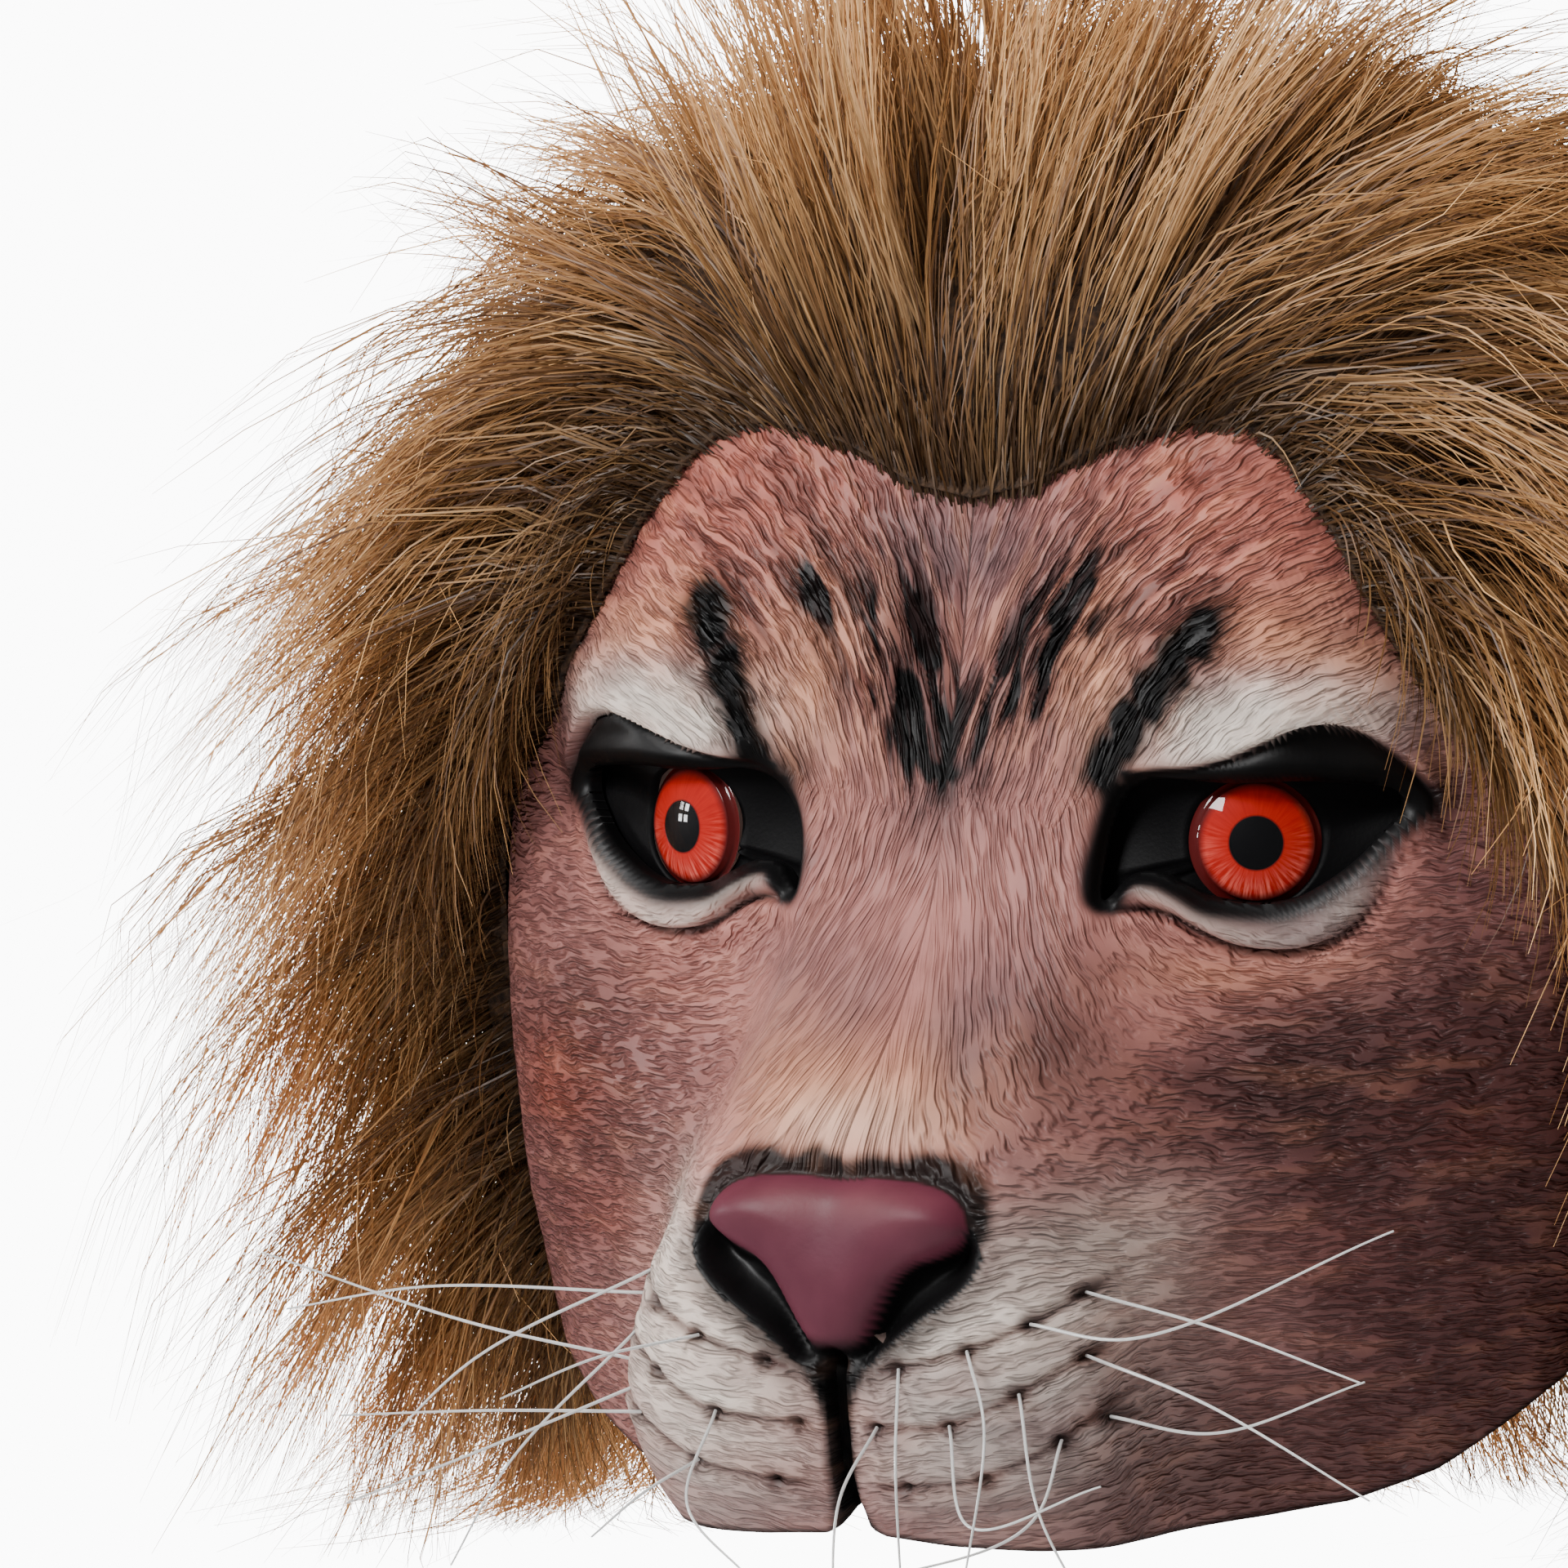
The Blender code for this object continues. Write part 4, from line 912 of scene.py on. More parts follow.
def latex_material():
    """Painted latex: colours from the points, carved fur and grain as bump, satin with a roughness that
    varies in a mottle.
    """
    made, tree, shader = material("painted_latex", roughness=0.5, specular_ior_level=0.35)
    carving = stored(tree, "fur")
    strokes = []
    for name in ("lie_upper", "lie_lower"):
        lie = stored(tree, name, "Vector")
        warp = node(tree, "ShaderNodeTexNoise", {"Vector": lie, "Scale": 0.16, "Detail": 1.0})
        shift = stretched(tree, warp.outputs["Color"], (2.2, 2.2, 0))
        moved = node(tree, "ShaderNodeVectorMath", {0: lie, 1: shift}, operation="ADD")
        along = stretched(tree, moved.outputs[0], (1.15, 0.20, 1))
        both = worked(tree, "MULTIPLY_ADD", noise(tree, along, 2.1, 0.5), 0.55, noise(tree, along, 0.9, 0.6))
        strokes.append(mapped(tree, both, *STROKE_RANGE, interpolation_type="SMOOTHSTEP"))
    sockets = {"Factor": stored(tree, "lower_share"), 2: strokes[0], 3: strokes[1]}
    lines = node(tree, "ShaderNodeMix", sockets).outputs[0]
    shade = worked(tree, "MULTIPLY", carving, STROKE_SHADE)
    mask = worked(tree, "MULTIPLY", worked(tree, "SUBTRACT", 1.0, lines), shade, use_clamp=True)
    shaded = mixed(tree, stored(tree, "paint", "Color"), STROKE_TINT, mask, "MULTIPLY")
    place = own_place(tree)
    mottle = noise(tree, place, 120.0, 4.0)
    varied = mixed(tree, shaded, mapped(tree, mottle, 0, 1, 0.74, 1.24), 1.0, "MULTIPLY")
    tree.links.new(varied, shader.inputs["Base Color"])
    tree.links.new(mapped(tree, mottle, 0, 1, 0.36, 0.62), shader.inputs["Roughness"])
    carved = bumped(tree, worked(tree, "MULTIPLY", lines, carving), 1.0, STROKE_DEPTH)
    grain = bumped(tree, noise(tree, place, 900.0, 3.0), 0.35, GRAIN_DEPTH, Normal=carved)
    tree.links.new(grain, shader.inputs["Normal"])
    return made


def build_face(finish):
    """The fine face: the painted front of the latex with its eye openings and rolled lower edge."""
    around, z, side = face_grid()
    level = level_at(z)
    base = head_points(around, level)
    x, h = base[..., 0] * side / MM, (z + EYE_DROP) / MM
    rows, columns = x.shape
    quads = quads_of(rows, columns)
    flat_x, flat_h = x.ravel(), h.ravel()
    middle_x, middle_h = flat_x[quads].mean(1), flat_h[quads].mean(1)
    opened = outline_depth(np.abs(middle_x), middle_h, EYE_CURVE, 30) > 0
    front = around.ravel()[quads].max(1) < 0.95
    opened &= front
    kept = quads[~opened]
    touched = np.zeros(x.size, bool)
    touched[quads[opened].ravel()] = True
    stays = np.zeros(x.size, bool)
    stays[kept.ravel()] = True
    border = np.flatnonzero(touched & stays)
    closed = np.vstack([EYE_CURVE, EYE_CURVE[:1]])
    _, _, near, _ = line_distance(np.abs(flat_x[border]), flat_h[border], closed)
    new_around, new_level = face_place(near[:, 0] * MM, near[:, 1] * MM - EYE_DROP)
    around.ravel()[border] = new_around
    level.ravel()[border] = new_level
    base = head_points(around, level)
    x, h = base[..., 0] * side / MM, up_from_eyes(base)
    marks = face_marks(x, h)
    charts = fur_coordinates(around, level, side)
    tuft = tufts(charts, h)
    rise = fine_rise(x, h, marks, tuft)
    points = base * mirrored_by(side)
    normals = head_normals(around, level) * mirrored_by(side)
    fade = step(1.0 - around, 0.0, FACE_FADE)
    points = points + normals * (rise * MM * fade)[..., None]
    color = paint_face(x, h, marks, charts[1], tuft)
    carve = fur_depth(x, h, marks)
    edge = step(1.6 - (z - lip_z(around)) / MM, 0, 1.6)[..., None]
    color = color * (1 - EDGE_DARK * edge) + PAINTS["black"] * EDGE_DARK * edge

    # The lower edge rolls over the wall's thickness
    roll = []
    for depth, drop in ((0.35, 0.5), (0.75, 0.5), (1.0, 0.0), (1.0, -3.0)):
        ring = points[-1] - normals[-1] * LATEX * depth
        ring[:, 2] -= drop * MM
        roll.append(ring)
    all_points = np.concatenate([points.reshape(-1, 3), np.array(roll).reshape(-1, 3)])
    roll_quads = quads_of(len(roll) + 1, columns) + (rows - 1) * columns
    # The rims of the openings turn in over the wall's thickness
    edges = np.concatenate([kept[:, [0, 1]], kept[:, [1, 2]], kept[:, [2, 3]], kept[:, [3, 0]]])
    key = np.sort(edges, 1)
    _, index, count = np.unique(key, axis=0, return_index=True, return_counts=True)
    lone = edges[index[count == 1]]
    on_eye = np.isin(lone, border).all(1)
    lone = lone[on_eye]
    rim_points = np.unique(lone)
    number = {int(v): i for i, v in enumerate(rim_points)}
    flat_normals = normals.reshape(-1, 3)
    first = len(all_points)
    for depth in (0.4, 1.1):
        ring = all_points[rim_points] - flat_normals[rim_points] * LATEX * depth
        all_points = np.concatenate([all_points, ring])
    size = len(rim_points)
    rim_quads = []
    for p, q in lone:
        i, j = number[int(p)], number[int(q)]
        rim_quads.append((q, p, first + i, first + j))
        rim_quads.append((first + j, first + i, first + size + i, first + size + j))
    faces = np.concatenate([kept, roll_quads, np.array(rim_quads)])
    extra = len(all_points) - x.size
    piece = mesh_piece("latex_face", all_points, faces, finish)
    dark = np.broadcast_to(PAINTS["black"], (extra, 3))
    full = np.concatenate([color.reshape(-1, 3), dark])
    set_values(piece, "paint", np.concatenate([full, np.ones((len(full), 1))], 1))
    for name, chart in (("lie_upper", charts[0]), ("lie_lower", charts[1])):
        lie = np.concatenate([chart, np.zeros((*x.shape, 1))], -1).reshape(-1, 3)
        set_values(piece, name, np.concatenate([lie, np.zeros((extra, 3))]))
    set_values(piece, "lower_share", np.concatenate([charts[2].ravel(), np.zeros(extra)]))
    set_values(piece, "fur", np.concatenate([carve.ravel(), np.zeros(extra)]))
    drop_loose(piece)
    return piece


def drop_loose(piece):
    """Removes points that no face uses."""
    work = bmesh.new()
    work.from_mesh(piece.data)
    bmesh.ops.delete(work, geom=[v for v in work.verts if not v.link_faces], context="VERTS")
    work.to_mesh(piece.data)
    work.free()


# The hood: its ways round on each side, its rows, the way round where its outside begins, and how much wider
# than the eye openings its holes are in mm
HOOD_WAYS = 76
HOOD_ROWS = 84
HOOD_FRONT = 1.04
HOLE_MARGIN = 4.5


def build_hood(finish):
    """The skull cap's outside under the mane, the whole inside of the latex, and its lower edge."""
    around, side = both_sides(np.linspace(0, 2, HOOD_WAYS + 1))
    edge = level_at(lip_z(around))
    level = np.linspace(0.004, 1, HOOD_ROWS + 1)[:, None] * edge
    around, side = np.broadcast_to(around, level.shape).copy(), np.broadcast_to(side, level.shape).copy()
    flip = mirrored_by(side)
    base, normals = head_points(around, level), head_normals(around, level)
    x, h = base[..., 0] * side / MM, up_from_eyes(base)
    marks = face_marks(x, h)
    zero = np.zeros_like(x)
    sunk = np.minimum(fine_rise(x, h, marks, zero), 0) * step(0.95 - around, 0, 0.1)
    sunk = 1.3 * sunk - 2.5 * step(-sunk, 0.3, 1.5)
    inner = (base + normals * ((sunk - 0.4) * MM - LATEX)[..., None]) * flip
    outer = base * flip
    rows, columns = level.shape
    quads = quads_of(rows, columns)
    way = around.ravel()[quads].mean(1)
    middle_x, middle_h = x.ravel()[quads].mean(1), h.ravel()[quads].mean(1)
    hole = outline_depth(np.abs(middle_x), middle_h, EYE_CURVE, 30) > -HOLE_MARGIN
    inner_quads = quads[~(hole & (way < 0.95))][:, ::-1]
    outer_quads = quads[way > HOOD_FRONT] + x.size
    last = (rows - 1) * columns
    rim = [(last + c + 1 + x.size, last + c + x.size, last + c, last + c + 1)
           for c in range(columns - 1) if around[-1, c] > HOOD_FRONT]
    points = np.concatenate([inner.reshape(-1, 3), outer.reshape(-1, 3)])
    faces = np.concatenate([inner_quads, outer_quads, np.array(rim)])
    piece = mesh_piece("latex_hood", points, faces, finish)
    drop_loose(piece)
    return piece


def inside_material():
    """Unpainted dark latex, seen from below."""
    made, tree, shader = material("latex_inside", (0.20, 0.13, 0.11), 0.6)
    mottle = noise(tree, own_place(tree), 60.0, 4.0)
    tree.links.new(bumped(tree, mottle, 0.4, 0.0006), shader.inputs["Normal"])
    tree.links.new(mapped(tree, mottle, 0, 1, 0.45, 0.7), shader.inputs["Roughness"])
    return made


# The eyes: how far each turns outwards, then the sizes of eye, hole and panel in metres
EYE_TURN = math.radians(22)
EYE_RADIUS = 0.0101
HOLE_RADIUS = 0.0112
EYE_DOME = 0.0026
PANEL_BACK = 0.0034
PANEL_LAP = 0.0065


def eye_frame(side):
    """An eye's place on the plain face, and its directions across, up and ahead."""
    around, level = face_place(0.0557, -0.0042 - EYE_DROP)
    centre = head_points(around, level, True)[0] * [side, 1, 1]
    across = np.array([math.cos(EYE_TURN), side * math.sin(EYE_TURN), 0])
    ahead = np.array([side * math.sin(EYE_TURN), -math.cos(EYE_TURN), 0])
    return centre, np.array([across, [0, 0, 1], ahead])


# The panel: its gap behind the latex, the radius of its crown and how many points go round it
PANEL_GAP = 0.0008
PANEL_CROWN = 0.09
PANEL_WAYS = 120


def build_panel(side, finish):
    """The domed charcoal panel behind an eye opening, with its round hole."""
    centre, frame_of = eye_frame(side)
    edge = np.array(EYE_CURVE)
    around, level = face_place(edge[:, 0] * MM, edge[:, 1] * MM - EYE_DROP)
    rim = (head_points(around, level) - head_normals(around, level) * (LATEX + PANEL_GAP)) * [side, 1, 1]
    local = (rim - centre) @ frame_of.T
    angles = np.arctan2(local[:, 1], local[:, 0])
    order = np.argsort(angles)
    even = np.linspace(-math.pi, math.pi, PANEL_WAYS, endpoint=False)
    reach = np.interp(even, angles[order], np.hypot(local[:, 0], local[:, 1])[order], period=2 * math.pi)
    fall = np.interp(even, angles[order], local[order, 2], period=2 * math.pi)
    share = np.r_[0, 0.03, np.linspace(0.1, 1, 12)][:, None]
    radius = HOLE_RADIUS + (np.maximum(reach, HOLE_RADIUS + 0.001) + PANEL_LAP - HOLE_RADIUS) * share
    blend = step(radius / (reach + PANEL_LAP * 0.4), 0.2, 1.0)
    dome = -PANEL_BACK - radius**2 / (2 * PANEL_CROWN)
    height = np.minimum(dome * (1 - blend) + (fall - 0.0006) * blend, -PANEL_BACK + 0.001)
    height[0] -= 0.0008
    points = np.stack([radius * np.cos(even), radius * np.sin(even), height], -1).reshape(-1, 3)
    points = points @ frame_of + centre
    quads = ring_quads(*radius.shape)
    if side > 0:
        quads = quads[:, ::-1]
    return mesh_piece("panel_left" if side > 0 else "panel_right", points, quads, finish)


def build_eye(side, finish):
    """A domed plastic disc, which the material paints with iris and pupil."""
    centre, frame_of = eye_frame(side)
    rings = np.r_[np.linspace(0, 0.93, 14), 0.97, 0.99, 1.0, 1.0, 1.15]
    rise = EYE_DOME * (1 - rings**2) - 0.0002
    rise[-2:] = (-0.0016, -0.0016)
    count = 72
    turn = np.linspace(0, 2 * math.pi, count, endpoint=False)
    ring = np.maximum(rings, 0.002)[:, None] * EYE_RADIUS
    rise = np.broadcast_to(rise[:, None], (len(rings), count))
    local = np.stack([ring * np.cos(turn), ring * np.sin(turn), rise], -1)
    points = local.reshape(-1, 3)
    name = "iris_left" if side > 0 else "iris_right"
    piece = mesh_piece(name, points, ring_quads(len(rings), count), finish)
    turn_of = Vector(frame_of[2]).to_track_quat("Z", "Y").to_matrix().to_4x4()
    piece.matrix_world = Matrix.Translation(Vector(centre - frame_of[2] * PANEL_BACK)) @ turn_of
    return piece


# The iris's paints, with the pale red of the light painted into its lower part, and where the pupil ends and
# the dark rim begins in shares of its radius
IRIS_DARK = (0.34, 0.003, 0.002, 1)
IRIS_RED = (0.62, 0.020, 0.010, 1)
IRIS_PAINTED_LIGHT = (0.95, 0.19, 0.14, 1)
IRIS_RIM = (0.10, 0.006, 0.006, 1)
PUPIL_BLACK = (0.004, 0.004, 0.005, 1)
PUPIL_BAND = (0.45, 0.49)
RIM_BAND = (0.86, 0.985)


def eye_material():
    """Red iris with radial streaks, with painted light that makes it paler low down, with a dark rim, a black
    pupil and a clear gloss.
    """
    made, tree, shader = material("red_eye", roughness=0.5, specular_ior_level=0.1, coat_weight=1.0,
                                  coat_roughness=0.015, coat_ior=1.5)
    split = node(tree, "ShaderNodeSeparateXYZ", {"Vector": own_place(tree)}).outputs
    flat = node(tree, "ShaderNodeCombineXYZ", {"X": split["X"], "Y": split["Y"]})
    length = node(tree, "ShaderNodeVectorMath", {0: flat.outputs[0]}, operation="LENGTH")
    share = worked(tree, "DIVIDE", length.outputs["Value"], EYE_RADIUS)
    turn = worked(tree, "ARCTAN2", split["Y"], split["X"])
    spin = node(tree, "ShaderNodeCombineXYZ", {"X": turn, "Y": share})
    streaks = noise(tree, stretched(tree, spin.outputs[0], (9.0, 1.1, 1)), 1.6, 3.0, 0.6)
    # Painted light: the iris is paler towards its bottom
    low = mapped(tree, split["Y"], EYE_RADIUS * 0.4, -EYE_RADIUS)
    pale = worked(tree, "MULTIPLY", mapped(tree, streaks, 0.42, 0.68), low)
    painted_light_share = worked(tree, "MULTIPLY", pale, mapped(tree, share, 0.45, 0.78))
    red = mixed(tree, IRIS_DARK, IRIS_RED, streaks)
    lit = mixed(tree, red, IRIS_PAINTED_LIGHT, painted_light_share)
    rimmed = mixed(tree, lit, IRIS_RIM, mapped(tree, share, *RIM_BAND))
    final = mixed(tree, PUPIL_BLACK, rimmed, mapped(tree, share, *PUPIL_BAND))
    tree.links.new(final, shader.inputs["Base Color"])
    return made


def panel_material():
    """Matte charcoal plastic with a fine grain."""
    made, tree, shader = material("black_panel", (0.0025, 0.0022, 0.0027), 0.5, specular_ior_level=0.12)
    grain = bumped(tree, noise(tree, own_place(tree), 1500.0), 0.4, 0.0001)
    tree.links.new(grain, shader.inputs["Normal"])
    return made


# Whiskers: side of the face, hole across and up, then the middle and the tip outwards, up and ahead, in mm
WHISKER_RADIUS = 0.00031
WHISKER_TAPER = 0.45
WHISKER_STEPS, WHISKER_CORNERS = 36, 8
WHISKER_ROUTES = (
    (1, 35.2, -81.6, 21, 0, 10.5, 68, 20, 7.5),
    (1, 41.0, -77.1, 28, -4, 7.5, 53, -11, 9),
    (1, 42.6, -87.3, 27, -5, 12, 58, -18, 18),
    (1, 45.5, -98.0, 20, -1, 4.5, 47, 9, 3),
    (1, 12.4, -90.0, 5, -14, 12, 6, -37, 12),
    (1, 7.4, -100.5, -2, -10, 10, -1, -31, 16),
    (1, 21.9, -99.1, 9, -14, 13, 36, -5, 19),
    (1, 33.9, -93.2, 10, -19, 13, 20, -33, 16),
    (1, 25.2, -86.2, 10, -11, 15, 9, -37, 22),
    (1, 39.8, -101.3, 1, -11, 13, -27, -22, 34),
    (-1, 41.0, -77.1, 34, -18, 6, 55, -37, 4.5),
    (-1, 42.6, -87.3, 22, -25, 9, 32, -42, 10),
    (-1, 43.5, -82.0, 46, -1.5, 0, 75, -7.5, -4.5),
    (-1, 44.0, -93.0, 25, 4.5, 4.5, 73, 15, 1.5),
    (-1, 39.8, -101.3, 26, 0, 10, 52, -2, 13),
    (-1, 41.5, -97.0, 19, -9, 15, 45, -20, 22),
    (-1, 25.2, -86.2, 13, -3, 15, 25, -9, 25),
    (-1, 27.0, -108.3, 6, -5, 10, 13, -12, 15),
    (-1, 21.9, -99.1, -1, -14, 13, -16, -25, 19),
)


def build_whisker(number, row, finish):
    """One nylon whisker: a thin tube that tapers along its curve from its hole."""
    side, across, up = row[:3]
    around, level = face_place(across * MM, up * MM - EYE_DROP)
    flip = np.array([side, 1, 1])
    normal = head_normals(around, level)[0] * flip
    root = head_points(around, level)[0] * flip - normal * 0.0005
    offset = lambda out, rise, ahead: np.array([side * out, -ahead, rise]) * MM
    marks = np.array([root, root + offset(*row[3:6]), root + offset(*row[6:9])])
    run = np.concatenate([[0], np.cumsum(np.linalg.norm(np.diff(marks, axis=0), axis=1))])
    share = np.linspace(0, 1, WHISKER_STEPS + 1)
    path = smooth(run, marks, share * run[-1])
    tangent = np.gradient(path, axis=0)
    tangent /= np.linalg.norm(tangent, axis=1, keepdims=True)
    first = np.cross(tangent, [0.3, 0.9, 0.31])
    first /= np.linalg.norm(first, axis=1, keepdims=True)
    second = np.cross(tangent, first)
    turn = np.linspace(0, 2 * math.pi, WHISKER_CORNERS, endpoint=False)[None, :, None]
    thick = (WHISKER_RADIUS * (1 - WHISKER_TAPER * share**1.5))[:, None, None]
    tube = path[:, None] + (first[:, None] * np.cos(turn) + second[:, None] * np.sin(turn)) * thick
    quads = ring_quads(WHISKER_STEPS + 1, WHISKER_CORNERS)
    return mesh_piece(f"nylon_{number:02d}", tube.reshape(-1, 3), quads, finish)


def nylon_material():
    """White translucent nylon."""
    made, tree, shader = material("white_nylon", (0.80, 0.79, 0.77), 0.3, transmission_weight=0.25)
    along = noise(tree, own_place(tree), 90.0, 1.0)
    tree.links.new(mapped(tree, along, 0, 1, 0.2, 0.4), shader.inputs["Roughness"])
    return made


# The mane: how long its hair is from the neck up to the crown, as height in mm and length in mm
HAIR_LENGTHS = np.array([
    (-100, 76), (-70, 100), (-20, 114), (20, 112), (50, 108), (80, 98), (116, 84),
])
BIG_LOCKS = 260
LOCKS = 2400
STRANDS = 60000
FRINGE = 5200
STRAND_STEPS = 5
HAIR_WIDTH = 0.00042
FRINGE_LENGTHS = (0.014, 0.055)
# How far the hair strays from its lock, in metres: the locks' waves, its own waves, frizz and loose strands
LOCK_WAVE = 0.0085
HAIR_WAVE = 0.0020
FRIZZ = 0.0036
STRAY_REACH = 0.014
STRAY_SHARE = 0.06
MANE_BOX = ((-0.199, 0.199), (-0.166, 0.166), (-0.263, 0.076))
MANE_SOFT = 0.028
# The fur cloth: thickness at its edge and inside, how far it thickens in mm, and its height over the latex
BACKING = (0.0016, 0.0085)
BACKING_RAMP = 22
BACKING_UNDER = 0.0006
BACKING_WAYS, BACKING_ROWS = 90, 70


def hair_flow(root, normal, share, swing):
    """The hair's direction at a share of its length, for roots on the head."""
    out = root * [1, 0, 1] + [0, 0, EYE_DROP]
    out /= np.maximum(np.linalg.norm(out, axis=-1, keepdims=True), 1e-6)
    front = np.clip((0.030 - root[:, 1]) / 0.090, 0, 1)[:, None]
    top = np.maximum(out[:, 2:], 0) ** 2 * front
    crown = np.maximum(normal[:, 2:], 0) * (1 - front)
    down, back = np.array([0, 0, -1.0]), np.array([0, 1.0, 0])
    low = normal * (0.75 - 0.35 * top) + out * 0.75 * front + down * 0.45 * (1 - front) * (1 - crown)
    low += back * 0.7 * crown
    high = normal * (0.06 - 0.03 * top) + out * (0.16 * front + 0.6 * top) + down * (1.5 - 1.42 * top)
    high += back * (0.8 * crown + 0.3 * top)
    low /= np.linalg.norm(low, axis=-1, keepdims=True)
    high /= np.linalg.norm(high, axis=-1, keepdims=True)
    bent = share**0.6
    way = low * (1 - bent) + high * bent + swing * (0.3 + 0.7 * share)
    return way / np.linalg.norm(way, axis=-1, keepdims=True)


def scatter(count, seed):
    """Seeded places on the head under the mane, even over its area."""
    random = np.random.default_rng(seed)
    tries = count * 4
    around, share = random.uniform(0, 2, tries), random.uniform(0.0, 1, tries)
    edge = level_at(hairline_z(around))
    level = share * edge
    step_u, step_v = 0.01, 0.02
    here = head_points(around, level, True)
    across = head_points(np.clip(around + step_u, 0, 2), level, True) - here
    below = head_points(around, np.clip(level + step_v, 0, LEVEL_KNOTS[-1]), True) - here
    area = np.linalg.norm(np.cross(across, below), axis=-1) * edge
    area *= (1 + 1.4 * np.exp(-(((around - 1.1) / 0.2) ** 2))) * (1 - 0.35 * step(around, 1.4, 1.7))
    keep = random.uniform(0, np.quantile(area, 0.97), tries) < area
    around, level = around[keep][:count], level[keep][:count]
    side = np.where(random.uniform(0, 1, len(around)) < 0.55, -1.0, 1.0)
    flip = mirrored_by(side)
    root = (head_points(around, level, True) + head_normals(around, level, True) * 0.0012) * flip
    return root, head_normals(around, level, True) * flip, random


def hair_path(root, normal, length, swing):
    """Points along the hair from its root."""
    path = [root]
    for k in range(STRAND_STEPS):
        way = hair_flow(root, normal, (k + 0.5) / STRAND_STEPS, swing)
        path.append(path[-1] + way * length[:, None] / STRAND_STEPS)
    return np.stack(path, 1)


def hairline_roots(count, seed):
    """Seeded places along the mane's front edge, with the skin's normals there."""
    random = np.random.default_rng(seed)
    around = random.uniform(0, 1.12, count)
    side = np.where(random.uniform(0, 1, count) < 0.5, -1.0, 1.0)
    flip = mirrored_by(side)
    z = hairline_z(around) + random.normal(0.0004, 0.0011, count)
    level = level_at(z)
    normal = head_normals(around, level, True)
    return (head_points(around, level, True) + normal * 0.0004) * flip, normal * flip, random


def kept_in(points):
    """Bends hair back where it would leave the mane's box."""
    for axis, (low, high) in enumerate(MANE_BOX):
        middle, reach = (low + high) / 2, (high - low) / 2
        away = points[..., axis] - middle
        free = reach - MANE_SOFT
        over = np.maximum(np.abs(away) - free, 0)
        points[..., axis] = middle + np.sign(away) * np.where(
            over > 0, free + MANE_SOFT * np.tanh(over / MANE_SOFT), np.abs(away))
    return points


def nearest_of(places, marks, part=4000):
    """The number of the nearest mark for each place."""
    found = [np.argmin(((places[at:at + part, None] - marks[None]) ** 2).sum(-1), 1)
             for at in range(0, len(places), part)]
    return np.concatenate(found)


